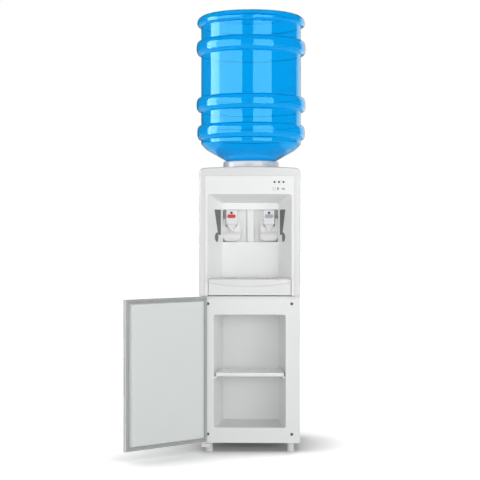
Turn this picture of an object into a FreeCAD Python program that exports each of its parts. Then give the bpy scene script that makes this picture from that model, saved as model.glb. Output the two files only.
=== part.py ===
"""Top-load water cooler with a cooled storage cabinet, its door open, and a bottle upside down on top.

Millimetres. +Z is up, the front faces -Y, and the origin is on the floor under the middle of the body.
The door is drawn shut and then turned open about its hinge pins.
"""

import FreeCAD
import Part
import Sketcher

import math
import operator
import os

Vector = FreeCAD.Vector

# ---------------------------------------------------------------------------------------------
# Driving sizes: alias, value, meaning
# ---------------------------------------------------------------------------------------------

SIZES = [
    ("body_width", 280.0, "outside width of the body"),
    ("front_reach", 150.0, "origin to the front of the upper fascia"),
    ("back_reach", 175.0, "origin to the outside of the back panel"),
    ("door_recess", 20.0, "how far the cabinet's face lies behind the fascia's front"),
    ("seat_gap", 0.3, "gap between pieces that seat on each other"),
    ("sheet_wall", 1.2, "steel sheet"),
    ("sheet_lip", 12.0, "turned-in edge of the steel sheets"),
    ("mould_wall", 2.5, "wall of the moulded pieces"),
    ("foot_rise", 26.0, "floor to the underside of the base"),
    ("foot_radius", 11.0, "foot"),
    ("foot_inset", 26.0, "side of the body to a foot's axis"),
    ("foot_front", 110.0, "origin to the front feet"),
    ("foot_back", 150.0, "origin to the back feet"),
    ("base_height", 12.0, "turned-up edge of the base"),
    ("flange_overlap", 1.0, "how far the cabinet's face reaches below the base"),
    ("cabinet_height", 403.0, "cabinet's face"),
    ("deck_space", 8.0, "cabinet's face to the upper fascia, with the deck between them"),
    ("fascia_height", 354.0, "underside of the fascia to the top of the body at its sides"),
    ("crown_rise", 5.0, "how far the top bows up in its middle"),
    ("top_corner", 14.0, "rounding between top and sides"),
    ("rail_width", 16.0, "side rail of the fascia frame"),
    ("top_band", 21.0, "top band of the fascia frame"),
    ("frame_step", 1.2, "how far the inner panel lies behind the frame"),
    ("panel_border", 7.5, "front panel beside the dispensing recess"),
    ("recess_taper", 36.5, "how much each side of the recess comes in by its back"),
    ("recess_depth", 85.0, "fascia front to the back of the recess"),
    ("brow_height", 51.0, "front panel over the recess"),
    ("recess_corner", 7.0, "rounding between the recess's ceiling and its sides"),
    ("recess_slope", 23.0, "how much the recess's ceiling comes down by its back"),
    ("bay_step", 5.0, "underside of the fascia to the floor of the tray bay"),
    ("niche_border", 1.6, "recess back beside the tap niche"),
    ("hood_height", 19.0, "recess back over the tap niche"),
    ("niche_height", 92.0, "tap niche"),
    ("niche_depth", 26.0, "depth of the tap niche behind the recess"),
    ("rib_half", 12.0, "half width of the rib between the taps"),
    ("rib_reach", 8.0, "how far the rib between the taps stands out"),
    ("keyhole_radius", 13.5, "round foot of the side slot"),
    ("slot_length", 64.0, "straight part of the side slot"),
    ("slot_waist_reach", 26.0, "how far the side slot comes forward at the foot of its straight part"),
    ("slot_reach", 44.0, "how far the side slot comes forward at its top"),
    ("keyhole_drop", 14.0, "foot of the slot's straight part to the middle of its round foot"),
    ("keyhole_reach", 29.0, "recess back to the middle of the slot's round foot"),
    ("inlay_thick", 2.0, "dark inlay behind a side slot"),
    ("tap_margin", 9.9, "side of the tap niche to a tap"),
    ("tap_width", 31.0, "tap body"),
    ("tap_drop", 1.0, "top of the niche to the top of a tap"),
    ("tap_height", 41.0, "square part of a tap body"),
    ("tap_front", 12.0, "how far a tap stands in front of the recess back"),
    ("spout_radius", 6.0, "spout"),
    ("spout_bore", 3.5, "bore of the spout"),
    ("funnel_depth", 12.0, "funnel under a tap's square part"),
    ("spout_length", 18.0, "spout below the tap body"),
    ("shank_radius", 7.0, "tap shank through the wall"),
    ("shank_length", 14.0, "tap shank behind the niche's face"),
    ("nut_radius", 13.0, "nut on a tap's shank, over its corners"),
    ("nut_height", 6.0, "nut on a tap's shank"),
    ("stud_radius", 3.4, "dark stud on a tap"),
    ("label_half", 12.0, "half width of a tap's coloured label"),
    ("stud_drop", 8.0, "top of a tap to the dark stud on its front"),
    ("label_height", 10.5, "height of a tap's coloured label"),
    ("label_drop", 23.0, "top of a tap to the lower edge of its label"),
    ("paddle_width", 50.0, "paddle"),
    ("paddle_rise", 5.0, "pin to the top of a paddle"),
    ("paddle_bulge", 6.0, "how far a paddle's belly stands out"),
    ("paddle_corner", 14.0, "rounding of a paddle's lower corners"),
    ("paddle_length", 59.0, "pin to the lower end of a paddle"),
    ("shank_drop", 16.0, "top of a tap to the axis of its shank"),
    ("pin_radius", 2.0, "pin that a paddle turns on"),
    ("pin_back", 8.0, "recess back to the paddle's pin"),
    ("pin_rise", 12.0, "underside of a tap's square part to the paddle's pin"),
    ("pin_play", 0.05, "radial clearance of turning fits"),
    ("led_radius", 2.7, "indicator lens"),
    ("led_drop", 17.5, "top of the front panel to the indicator lenses"),
    ("led_first", 69.0, "middle of the body to the first lens"),
    ("led_pitch", 12.5, "from lens to lens"),
    ("tray_play", 2.5, "tray front to the side of the recess"),
    ("lip_cover", 12.0, "how far the lip reaches up over the tray's front"),
    ("tray_height", 39.0, "tray"),
    ("tray_wall", 2.0, "wall of the tray"),
    ("lip_drop", 10.0, "height of the lip at its ends"),
    ("lip_sag", 11.0, "how far the lip's lower edge hangs down in the middle"),
    ("lip_reach", 9.0, "how far the lip stands out at its ends"),
    ("lip_bow", 5.0, "how far the lip bows forward in the middle"),
    ("grille_thick", 3.0, "drip grille"),
    ("grille_pitch", 9.0, "from slot to slot in the grille"),
    ("grille_slots", 17, "slots in one row of the grille"),
    ("stile_width", 39.7, "side of the body to the cabinet opening"),
    ("sill_height", 42.5, "cabinet's face under its opening"),
    ("lintel_height", 45.5, "cabinet's face over its opening"),
    ("opening_corner", 6.0, "corner rounding of the cabinet opening"),
    ("liner_depth", 168.0, "depth of the cabinet from its face"),
    ("liner_taper", 18.0, "how much each side comes in by the back"),
    ("liner_drop", 12.0, "how much the ceiling comes down by the back"),
    ("liner_wall", 2.0, "liner"),
    ("foam_gap", 15.0, "insulation behind the liner to the compressor"),
    ("ledge_rise", 142.0, "floor of the cabinet to the top of the shelf ledges"),
    ("ledge_thick", 5.0, "shelf ledge"),
    ("crown_edge", 4.0, "rounding round the front of the fascia frame"),
    ("ledge_reach", 7.0, "how far a shelf ledge stands out"),
    ("shelf_front", 8.0, "cabinet face to the shelf's front"),
    ("shelf_depth", 112.0, "shelf, front to back"),
    ("shelf_lip", 10.0, "height of the shelf's front lip"),
    ("shelf_thick", 3.0, "shelf plate"),
    ("shelf_corner", 5.0, "rounding of the shelf's front corners"),
    ("shelf_play", 2.6, "gap between shelf and liner at each side"),
    ("shelf_hole", 3.0, "radius of the holes in the shelf"),
    ("shelf_pitch", 19.0, "from hole to hole in the shelf"),
    ("shelf_holes", 8, "holes in one row of the shelf"),
    ("plug_radius", 4.2, "round plug on the cabinet's face"),
    ("plug_inset", 23.0, "side of the body to the round plugs"),
    ("plug_drop", 15.2, "top of the cabinet's face to the upper plugs"),
    ("plug_rise", 24.3, "underside of the cabinet's face to the lower plugs"),
    ("door_inset", 1.5, "side of the body to the door's end, shut"),
    ("door_rise", 5.0, "underside of the cabinet's face to the door's underside"),
    ("door_cover", 5.0, "how far the door reaches over the cabinet's face"),
    ("door_thick", 15.0, "door without its gasket"),
    ("door_edge", 3.0, "rounding of the door's upright front edges"),
    ("grip_depth", 5.0, "finger groove in the door's free end"),
    ("grip_length", 100.0, "finger groove in the door's free end"),
    ("door_crown", 3.0, "how far the door's face bows out"),
    ("door_angle", 138.0, "how far the door stands open, in degrees"),
    ("pivot_inset", 9.0, "door's end to the hinge pins"),
    ("pivot_back", 8.0, "fascia front to the hinge pins"),
    ("hinge_pin", 2.5, "radius of the hinge pins"),
    ("hinge_margin", 4.0, "hinge plate round its pin"),
    ("hinge_reach", 34.0, "how far a hinge plate reaches behind the cabinet's face"),
    ("bracket_thick", 3.5, "plate of the lower hinge"),
    ("hinge_grip", 12.0, "length of a hinge pin in the door"),
    ("bush_wall", 1.0, "wall of a hinge bush"),
    ("gasket_inset", 1.0, "door's top and underside to the gasket"),
    ("gasket_side_inset", 2.5, "door's ends to the gasket"),
    ("bead_inset", 5.5, "gasket's edge to its raised bead"),
    ("gasket_bead", 3.7, "raised bead of the gasket"),
    ("door_rim", 3.5, "door's top and underside to its inner panel"),
    ("door_land", 15.5, "door's ends to its inner panel"),
    ("gasket_width", 9.7, "foot of the gasket, across"),
    ("gasket_foot", 1.5, "thickness of the gasket's foot"),
    ("gasket_air", 0.4, "gasket to the cabinet's face, shut"),
    ("plateau_rise", 4.0, "raised middle of the door's inner panel"),
    ("door_skin", 2.5, "wall of the door's outer shell"),
    ("bottle_radius", 157.5, "bottle at its rings"),
    ("bottle_wall_radius", 144.0, "bottle between its rings"),
    ("bottle_wall", 2.0, "wall of the bottle"),
    ("bottle_rise", 421.0, "top of the collar to the top of the upturned bottle"),
    ("hip_height", 17.0, "knee of the bottle's shoulder to its straight wall"),
    ("bottle_hip", 127.0, "bottle at the knee of its shoulder"),
    ("knee_rise", 34.0, "top of the collar to the knee of the bottle's shoulder"),
    ("throat_drop", 4.0, "top of the collar to where the bottle's shoulder turns in to its neck"),
    ("throat_radius", 61.0, "bottle where its shoulder turns in to its neck"),
    ("ring_round", 10.0, "rounding of the bottle's rings"),
    ("ring_hollow", 4.0, "rounding between a ring and the wall beside it"),
    ("ring_flank", 3.0, "how much a ring's sides slope"),
    ("end_ring_inset", 2.1, "how far the lowest and the base ring lie inside the other two"),
    ("base_round", 13.0, "rounding of the bottle's base"),
    ("ring_height", 42.0, "height of a ring"),
    ("ring_start", 11.5, "foot of the bottle's wall to the lowest ring"),
    ("ring_pitch", 80.5, "lowest ring to the next"),
    ("ring_drop", 115.0, "top of the bottle to the lower side of the third ring"),
    ("base_ring_height", 32.5, "ring at the bottle's base"),
    ("neck_radius", 27.0, "neck of the bottle"),
    ("neck_length", 39.0, "foot of the bottle's shoulder to its mouth"),
    ("cap_wall", 1.5, "cap of the bottle"),
    ("cap_height", 24.0, "cap of the bottle"),
    ("cup_radius", 32.0, "inside of the water seat's cup"),
    ("cup_depth", 48.0, "top of the body to the floor of the water seat's cup"),
    ("spike_height", 48.0, "feed spike over the floor of the cup"),
    ("collar_radius", 80.0, "bottle collar"),
    ("collar_rise", 25.0, "top of the body to the top of the collar"),
    ("collar_wall", 11.0, "collar"),
    ("collar_slope", 5.0, "how much the collar's inner wall comes in below its top"),
    ("bottle_back", 12.0, "origin to the bottle's axis"),
    ("spike_radius", 8.0, "feed spike"),
    ("spike_bore", 4.0, "bore of the feed spike"),
    ("tank_radius", 70.0, "cold tank"),
    ("tank_height", 95.0, "cold tank"),
    ("feed_drop", 37.0, "floor of the cup to the top of the cold tank"),
    ("tank_foam", 22.0, "insulation round the cold tank"),
    ("tank_back", 70.0, "origin to the axis of the tanks"),
    ("hot_radius", 52.0, "hot tank"),
    ("tank_space", 28.0, "top of the hot tank to the cold tank's insulation"),
    ("deck_gap", 1.8, "hinge plate between the deck and the fascia"),
    ("bridge_depth", 110.0, "bridge under the cold tank, front to back"),
    ("bridge_wall", 1.5, "bridge under the cold tank"),
    ("bridge_toe", 14.0, "turned-out foot of the bridge"),
    ("pipe_radius", 4.0, "water pipes"),
    ("pipe_wall", 1.2, "wall of the water pipes"),
    ("pump_radius", 44.0, "compressor"),
    ("pump_height", 128.0, "compressor"),
    ("pump_back", 123.0, "origin to the compressor's axis"),
    ("riser_height", 50.0, "top of the compressor to the bend of its pipe"),
    ("mount_radius", 6.5, "rubber mount under the compressor"),
    ("mount_height", 10.0, "rubber mount under the compressor"),
    ("mount_spread", 32.0, "compressor's axis to a mount, front to back"),
    ("mount_inset", 4.0, "side of the compressor to a mount"),
    ("vent_rise", 130.0, "underside of the base to the lowest cooling slot"),
    ("vent_length", 64.0, "cooling slot"),
    ("vent_half", 3.0, "half width of a cooling slot"),
    ("vent_pitch", 14.0, "from slot to slot in the back panel"),
    ("vent_slots", 10, "cooling slots above each other"),
    ("coil_tube", 2.5, "radius of the condenser's tube"),
    ("coil_wire", 0.8, "radius of the condenser's wires"),
    ("coil_inset", 35.0, "side of the body to the condenser's wires"),
    ("coil_rise", 34.0, "underside of the fascia to the lowest run of the condenser"),
    ("coil_pitch", 30.0, "from run to run of the condenser"),
    ("coil_runs", 10, "runs of the condenser"),
    ("coil_wires", 18, "wires of the condenser"),
    ("coil_gap", 7.0, "back panel to the condenser's tube"),
    ("clip_width", 14.0, "condenser clip"),
    ("clip_height", 12.0, "condenser clip"),
    ("clip_side", 75.0, "middle of the body to a condenser clip"),
    ("inlet_side", 80.0, "middle of the body to the mains inlet"),
    ("inlet_rise", 64.0, "underside of the base to the mains inlet"),
    ("switch_side", 70.0, "middle of the body to the switches"),
    ("switch_drop", 43.0, "top of the cabinet's face to the switches"),
    ("switch_pitch", 34.0, "from switch to switch"),
    ("drain_side", 30.0, "middle of the body to the drains"),
    ("drain_drop", 8.0, "top of the cabinet's face to the drains"),
    ("drain_radius", 9.0, "drain outlet"),
    ("cap_radius", 14.0, "drain cap"),
]

doc = FreeCAD.newDocument("water_cooler")
sheet = doc.addObject("Spreadsheet::Sheet", "sizes")


class Size:
    """A number together with the sheet formula that gives it."""

    def __init__(self, number, formula):
        self.number = float(number)
        self.formula = formula

    def __float__(self):
        return self.number

    def __neg__(self):
        return Size(-self.number, f"(-{self.formula})")

    def __add__(self, other):
        return joined(self, "+", other)

    def __radd__(self, other):
        return joined(other, "+", self)

    def __sub__(self, other):
        return joined(self, "-", other)

    def __rsub__(self, other):
        return joined(other, "-", self)

    def __mul__(self, other):
        return joined(self, "*", other)

    def __rmul__(self, other):
        return joined(other, "*", self)

    def __truediv__(self, other):
        return joined(self, "/", other)


SIGNS = {"+": operator.add, "-": operator.sub, "*": operator.mul, "/": operator.truediv}


def sized(value):
    """A plain number as a Size."""
    return value if isinstance(value, Size) else Size(value, f"({float(value)})")


def joined(left, sign, right):
    """Two sizes put together by one sign, as number and as formula."""
    left, right = sized(left), sized(right)
    return Size(SIGNS[sign](left.number, right.number), f"({left.formula} {sign} {right.formula})")


class Driving:
    """The driving sizes, each read back from its cell of the sheet by its alias."""

    def __getattr__(self, alias):
        return Size(sheet.get(alias), f"sizes.{alias}")


def fill_sheet():
    for row, (alias, value, meaning) in enumerate(SIZES, start=1):
        sheet.set(f"A{row}", meaning)
        sheet.set(f"B{row}", str(value))
        sheet.setAlias(f"B{row}", alias)
    doc.recompute()


def bind(feature, path, value):
    """Give a property its number, and the formula that keeps it."""
    feature.setExpression(path, sized(value).formula)


# ---------------------------------------------------------------------------------------------
# Sketches and features
# ---------------------------------------------------------------------------------------------

TINY = 1e-6
PLANE_SIGN = {"XY_Plane": 1, "XZ_Plane": -1, "YZ_Plane": 1}
pieces = {}


def new_body(name):
    """A body for one sub-part. Its label names its file."""
    body = doc.addObject("PartDesign::Body", name)
    body.Label = name
    pieces[name] = body
    return body


def origin_item(body, role):
    for item in body.Origin.OriginFeatures:
        if item.Role == role:
            return item
    raise ValueError(f"{body.Label} has no {role}")


def new_sketch(body, plane, at=0.0):
    """A sketch on one of the body's own planes, moved along its axis to the coordinate at."""
    sketch = body.newObject("Sketcher::SketchObject", "outline")
    sketch.AttachmentSupport = (origin_item(body, plane), "")
    sketch.MapMode = "FlatFace"
    bind(sketch, "AttachmentOffset.Base.z", PLANE_SIGN[plane] * sized(at))
    return sketch


def held(sketch, rules):
    """Add (constraint type, arguments, size) rules, each tied to its formula."""
    for kind, places, value in rules:
        index = sketch.addConstraint(Sketcher.Constraint(kind, *places, float(value)))
        bind(sketch, f"Constraints[{index}]", value)


def joined_ends(sketch, ends):
    """Close a loop of edges, given as (edge, its first end, its last end) in order."""
    for here, after in zip(ends, ends[1:] + ends[:1]):
        sketch.addConstraint(Sketcher.Constraint("Coincident", here[0], here[2], after[0], after[1]))


def flat_point(corner):
    return Vector(float(corner[0]), float(corner[1]), 0)


def loop(sketch, corners):
    """A closed loop through corners (x, y), or (x, y, bow) where the next edge is an arc.

    bow is how far the arc's middle lies to the right of its chord, which runs along x or y.
    """
    ends = []
    rules = []
    for i, corner in enumerate(corners):
        following = corners[(i + 1) % len(corners)]
        start, finish = flat_point(corner), flat_point(following)
        if len(corner) == 3:
            chord = finish - start
            bow = sized(corner[2])
            right = Vector(chord.y, -chord.x, 0).normalize()
            middle = (start + finish) * 0.5 + right * bow.number
            edge = sketch.addGeometry(Part.Arc(start, middle, finish), False)
            along = 0 if abs(chord.x) > abs(chord.y) else 1
            length = sized(following[along]) - corner[along]
            inset = bow - (length * length / 4 + bow * bow) / (2 * bow)
            centre = corner[1 - along] + round(right[1 - along]) * inset
            rules.append((("DistanceY", "DistanceX")[along], (-1, 1, edge, 3), centre))
        else:
            edge = sketch.addGeometry(Part.LineSegment(start, finish), False)
        forward = sketch.getPoint(edge, 1).distanceToPoint(start) < TINY
        ends.append((edge, 1, 2) if forward else (edge, 2, 1))
        rules.append(("DistanceX", (-1, 1, edge, ends[-1][1]), corner[0]))
        rules.append(("DistanceY", (-1, 1, edge, ends[-1][1]), corner[1]))
    joined_ends(sketch, ends)
    held(sketch, rules)
    return sketch


def rectangle(sketch, x0, x1, y0, y1):
    return loop(sketch, [(x0, y0), (x1, y0), (x1, y1), (x0, y1)])


def circle(sketch, x, y, radius):
    place = Vector(float(x), float(y), 0)
    edge = sketch.addGeometry(Part.Circle(place, Vector(0, 0, 1), float(radius)), False)
    held(
        sketch,
        [
            ("DistanceX", (-1, 1, edge, 3), x),
            ("DistanceY", (-1, 1, edge, 3), y),
            ("Radius", (edge,), radius),
        ],
    )
    return sketch


def swept(body, kind, sketch, length, onward):
    """A pad or pocket from a sketch, towards the higher (onward) or the lower coordinate."""
    feature = body.newObject(f"PartDesign::{kind}", kind.lower())
    feature.Profile = sketch
    bind(feature, "Length", length)
    normal_is_up = PLANE_SIGN[sketch.AttachmentSupport[0][0].Role] > 0
    feature.Reversed = (normal_is_up != onward) if kind == "Pad" else (normal_is_up == onward)
    body.Tip = feature
    return feature


def pad(body, sketch, length, onward=True):
    return swept(body, "Pad", sketch, length, onward)


def pocket(body, sketch, length, onward=True):
    return swept(body, "Pocket", sketch, length, onward)


def block(body, x, y, z, kind="Pad"):
    """A box from three (low, high) pairs, added to or cut from the body."""
    sketch = rectangle(new_sketch(body, "XY_Plane", z[0]), *x, *y)
    return swept(body, kind, sketch, sized(z[1]) - z[0], True)


def spun(body, sketch):
    """A full turn of a sketch about its own vertical axis."""
    feature = body.newObject("PartDesign::Revolution", "revolution")
    feature.Profile = sketch
    feature.ReferenceAxis = (sketch, ["V_Axis"])
    feature.Angle = 360.0
    body.Tip = feature
    return feature


def lofted(body, kind, sections):
    feature = body.newObject(f"PartDesign::{kind}Loft", "loft")
    feature.Profile = sections[0]
    feature.Sections = sections[1:]
    feature.Ruled = True
    body.Tip = feature
    return feature


def row_of(body, feature, axis, pitch, count, back=False):
    """Copies of a feature in a row, from its first place on."""
    pattern = body.newObject("PartDesign::LinearPattern", "row")
    pattern.Originals = [feature]
    pattern.Direction = (origin_item(body, f"{axis}_Axis"), [""])
    pattern.Reversed = back
    bind(pattern, "Length", pitch * (sized(count) - 1))
    bind(pattern, "Occurrences", count)
    body.Tip = pattern
    return pattern


def edges_where(shape, test):
    """Names of the edges whose bounding box passes the test."""
    return [f"Edge{i}" for i, edge in enumerate(shape.Edges, start=1) if test(edge.BoundBox)]


def rounded(body, radius, test, kind="Fillet"):
    """Round or bevel the edges that pass the test."""
    doc.recompute()
    names = edges_where(body.Tip.Shape, test)
    if not names:
        raise ValueError(f"{body.Label}: no edge to round")
    base = body.Tip
    feature = body.newObject(f"PartDesign::{kind}", kind.lower())
    feature.Base = (base, names)
    bind(feature, "Radius" if kind == "Fillet" else "Size", radius)
    body.Tip = feature
    return feature


def near(value, target, slack=0.01):
    return abs(value - float(target)) < slack


def upright(box):
    return box.XLength < TINY and box.YLength < TINY


def across(box):
    return box.YLength < TINY and box.ZLength < TINY


def lengthwise(box):
    return box.XLength < TINY and box.ZLength < TINY


def primitive(kind, name, sizes, place=(0, 0, 0)):
    """A Part primitive with its sizes and its place tied to the sheet."""
    solid = doc.addObject(f"Part::{kind}", name)
    for key, value in sizes.items():
        bind(solid, key, value)
    for axis, value in zip("xyz", place):
        bind(solid, f"Placement.Base.{axis}", value)
    return solid


def turned(solid, axis, degrees):
    solid.Placement.Rotation = FreeCAD.Rotation(Vector(*axis), degrees)
    return solid


def cut(name, base, tool):
    result = doc.addObject("Part::Cut", name)
    result.Base = base
    result.Tool = tool
    return result


def fused(name, parts):
    result = doc.addObject("Part::MultiFuse", name)
    result.Shapes = parts
    return result


def finished(name, solid):
    """Name a sub-part that isn't a body."""
    solid.Label = name
    pieces[name] = solid
    return solid


def gathered(name, solids):
    """Like solids kept apart in one sub-part."""
    group = doc.addObject("Part::Compound", name)
    group.Links = solids
    return finished(name, group)


def set_shape(name, shape):
    feature = doc.addObject("Part::Feature", name)
    feature.Shape = shape
    return finished(name, feature)


def pipe_path(points, radius):
    """Straight runs through the points, with an arc of the given radius at each turn."""
    edges = []
    start = points[0]
    for before, corner, after in zip(points, points[1:], points[2:]):
        inward = (before - corner).normalize()
        outward = (after - corner).normalize()
        half = inward.getAngle(outward) / 2
        setback = radius / math.tan(half)
        first = corner + inward * setback
        last = corner + outward * setback
        middle_way = (inward + outward).normalize()
        middle = corner + middle_way * (radius / math.sin(half) - radius)
        edges.append(Part.LineSegment(start, first).toShape())
        edges.append(Part.Arc(first, middle, last).toShape())
        start = last
    edges.append(Part.LineSegment(start, points[-1]).toShape())
    return Part.Wire(edges)


def tube(points, bend, radius):
    """A round solid along a path of straight runs and arcs."""
    path = pipe_path(points, bend)
    run = (points[1] - points[0]).normalize()
    ring = Part.Wire(Part.Circle(points[0], run, radius).toShape())
    return path.makePipeShell([ring], True, False)


def stadium(sketch, middle, half, low, high):
    """An upright slot with round ends, half wide each side of its middle line."""
    left, right = middle - half, middle + half
    corners = [(left, low + half, half), (right, low + half), (right, high - half, half), (left, high - half)]
    return loop(sketch, corners)


def lying_stadium(sketch, left, right, middle, half):
    """A slot with round ends that lies along the sketch's first axis."""
    low, high = middle - half, middle + half
    corners = [(left + half, low), (right - half, low, half), (right - half, high), (left + half, high, half)]
    return loop(sketch, corners)


def ring_of(sketch, x0, x1, y0, y1, width):
    """A rectangle with a smaller one inside it."""
    rectangle(sketch, x0, x1, y0, y1)
    return rectangle(sketch, x0 + width, x1 - width, y0 + width, y1 - width)


fill_sheet()
s = Driving()

# Places that many pieces share: from the middle outwards and from front to back
half_width = s.body_width / 2
inner_half = half_width - s.sheet_wall
frame_inner = half_width - s.rail_width
recess_half = frame_inner - s.panel_border
recess_back_half = recess_half - s.recess_taper
niche_half = recess_back_half - s.niche_border
tap_side = niche_half - s.tap_margin - s.tap_width / 2
tray_half = recess_half - s.tray_play
opening_half = half_width - s.stile_width
plug_side = half_width - s.plug_inset
foot_side = half_width - s.foot_inset
coil_half = half_width - s.coil_inset
door_side = half_width - s.door_inset
gasket_side = door_side - s.gasket_side_inset
pivot_side = door_side - s.pivot_inset
pivot_x = -pivot_side
front_y = -s.front_reach
back_y = s.back_reach
face_y = s.door_recess - s.front_reach
flange_back = face_y + s.mould_wall
case_front = flange_back + s.seat_gap
panel_y = front_y + s.frame_step
recess_y = s.recess_depth - s.front_reach
niche_y = recess_y + s.niche_depth
pivot_y = front_y + s.pivot_back
door_inside = front_y + s.door_thick
coil_y = back_y + s.coil_gap
rocker_y = back_y - 5

# Heights of the cabinet and the door
base_top = s.foot_rise + s.sheet_wall
flange_bottom = s.foot_rise - s.flange_overlap
cabinet_top = flange_bottom + s.cabinet_height
opening_low = flange_bottom + s.sill_height
opening_high = cabinet_top - s.lintel_height
ledge_top = opening_low + s.ledge_rise
plug_low = flange_bottom + s.plug_rise
plug_high = cabinet_top - s.plug_drop
door_low = flange_bottom + s.door_rise
door_high = cabinet_top + s.door_cover
gasket_low = door_low + s.gasket_inset
gasket_high = door_high - s.gasket_inset
inlet_height = s.foot_rise + s.inlet_rise
switch_height = cabinet_top - s.switch_drop
drain_height = cabinet_top - s.drain_drop

# Heights of the dispenser
fascia_bottom = cabinet_top + s.deck_space
shoulder_height = fascia_bottom + s.fascia_height
band_low = shoulder_height - s.top_band
deck_top = fascia_bottom - s.deck_gap - 2 * s.seat_gap
deck_low = deck_top - s.sheet_wall
recess_floor = fascia_bottom + s.bay_step
recess_top = band_low - s.brow_height
recess_back_top = recess_top - s.recess_slope
niche_top = recess_back_top - s.hood_height
niche_bottom = niche_top - s.niche_height
slot_waist = niche_top - s.slot_length
keyhole_height = slot_waist - s.keyhole_drop
led_height = band_low - s.led_drop
tap_top = niche_top - s.tap_drop
tap_skirt = tap_top - s.tap_height
tap_axis = tap_top - s.shank_drop
spout_end = tap_skirt - s.spout_length
stud_height = tap_top - s.stud_drop
label_low = tap_top - s.label_drop
pin_height = tap_skirt + s.pin_rise
paddle_bottom = pin_height - s.paddle_length
tray_rim = recess_floor + s.tray_height
lip_top = tray_rim + s.grille_thick
tray_front_top = tray_rim - s.lip_cover

# Heights of the bottle, its seat and the tanks
collar_top = shoulder_height + s.collar_rise
bottle_throat = collar_top - s.throat_drop
bottle_knee = collar_top + s.knee_rise
bottle_shoulder = bottle_knee + s.hip_height
bottle_top = collar_top + s.bottle_rise
ring_low = bottle_shoulder + s.ring_start
ring_second = ring_low + s.ring_pitch
ring_third = bottle_top - s.ring_drop
ring_base = bottle_top - s.base_ring_height
neck_end = bottle_throat - s.neck_length
cup_low = shoulder_height - s.cup_depth
spike_top = cup_low + s.spike_height
tank_high = cup_low - s.feed_drop
tank_low = tank_high - s.tank_height
hot_high = tank_low - s.tank_foam - s.tank_space
coil_low = fascia_bottom + s.coil_rise
coil_high = coil_low + s.coil_pitch * (s.coil_runs - 1)

seat_rim = s.collar_radius - s.collar_wall - s.collar_slope - s.seat_gap
SIDES = {"left": -1, "right": 1}
TAPS = {"hot": -1, "cold": 1}
ROCKER_TILT = 8.0


# ---------------------------------------------------------------------------------------------
# Casing
# ---------------------------------------------------------------------------------------------

def side_panel(name, side):
    """A sheet bent in at its front and rear edges."""
    body = new_body(name)
    rear = back_y - s.sheet_wall - s.seat_gap
    outer, inner, lip = side * half_width, side * inner_half, side * (half_width - s.sheet_lip)
    corners = [
        (lip, case_front),
        (outer, case_front),
        (outer, rear),
        (lip, rear),
        (lip, rear - s.sheet_wall),
        (inner, rear - s.sheet_wall),
        (inner, case_front + s.sheet_wall),
        (lip, case_front + s.sheet_wall),
    ]
    sketch = loop(new_sketch(body, "XY_Plane", s.foot_rise), corners)
    pad(body, sketch, band_low - s.seat_gap - s.foot_rise)
    bend = 2 * s.sheet_wall
    rounded(body, bend, lambda box: upright(box) and near(box.XMin, outer))
    rounded(body, bend - s.sheet_wall, lambda box: upright(box) and near(box.XMin, inner))


def back_panel():
    """The rear sheet, with cooling slots and the holes for what is fitted to it."""
    body = new_body("back_panel")
    sheet_y = back_y - s.sheet_wall
    outline = new_sketch(body, "XZ_Plane", sheet_y)
    rectangle(outline, -half_width + 1, half_width - 1, s.foot_rise, band_low - s.seat_gap)
    pad(body, outline, s.sheet_wall)
    for side in SIDES.values():
        middle = side * half_width / 2
        slot = new_sketch(body, "XZ_Plane", sheet_y)
        left, right = middle - s.vent_length / 2, middle + s.vent_length / 2
        lying_stadium(slot, left, right, s.foot_rise + s.vent_rise, s.vent_half)
        row_of(body, pocket(body, slot, s.sheet_wall), "Z", s.vent_pitch, s.vent_slots)
    holes = new_sketch(body, "XZ_Plane", sheet_y)
    rectangle(holes, s.inlet_side - 14, s.inlet_side + 14, inlet_height - 11, inlet_height + 11)
    rectangle(holes, -s.switch_side - 31, -s.switch_side + 31, switch_height - 12.5, switch_height + 12.5)
    for side in TAPS.values():
        circle(holes, side * s.drain_side, drain_height, s.drain_radius + s.seat_gap)
    for height in (coil_low, coil_high):
        circle(holes, -coil_half, height, 2 * s.coil_tube)
    pocket(body, holes, s.sheet_wall)


def base_plate():
    body = new_body("base_plate")
    half = inner_half - s.seat_gap
    front = face_y + s.mould_wall + 2 * s.sheet_wall + 2 * s.seat_gap
    rear = back_y - 2 * s.sheet_wall - 3 * s.seat_gap
    block(body, (-half, half), (front, rear), (s.foot_rise, s.foot_rise + s.base_height))
    wall = s.sheet_wall
    block(
        body,
        (-half + wall, half - wall),
        (front + wall, rear - wall),
        (base_top, s.foot_rise + s.base_height),
        "Pocket",
    )


def foot(x, y):
    flare = 1.5
    pad_height = 6.0
    tread = primitive("Cylinder", "tread", {"Radius": s.foot_radius, "Height": pad_height}, (x, y, 0))
    stem_sizes = {
        "Radius1": s.foot_radius - flare / 2,
        "Radius2": s.foot_radius - flare,
        "Height": s.foot_rise,
    }
    stem = primitive("Cone", "stem", stem_sizes, (x, y, 0))
    return fused("foot", [tread, stem])


def feet():
    places = [(side * foot_side, y) for side in SIDES.values() for y in (-s.foot_front, s.foot_back)]
    gathered("feet", [foot(x, y) for x, y in places])


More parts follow.
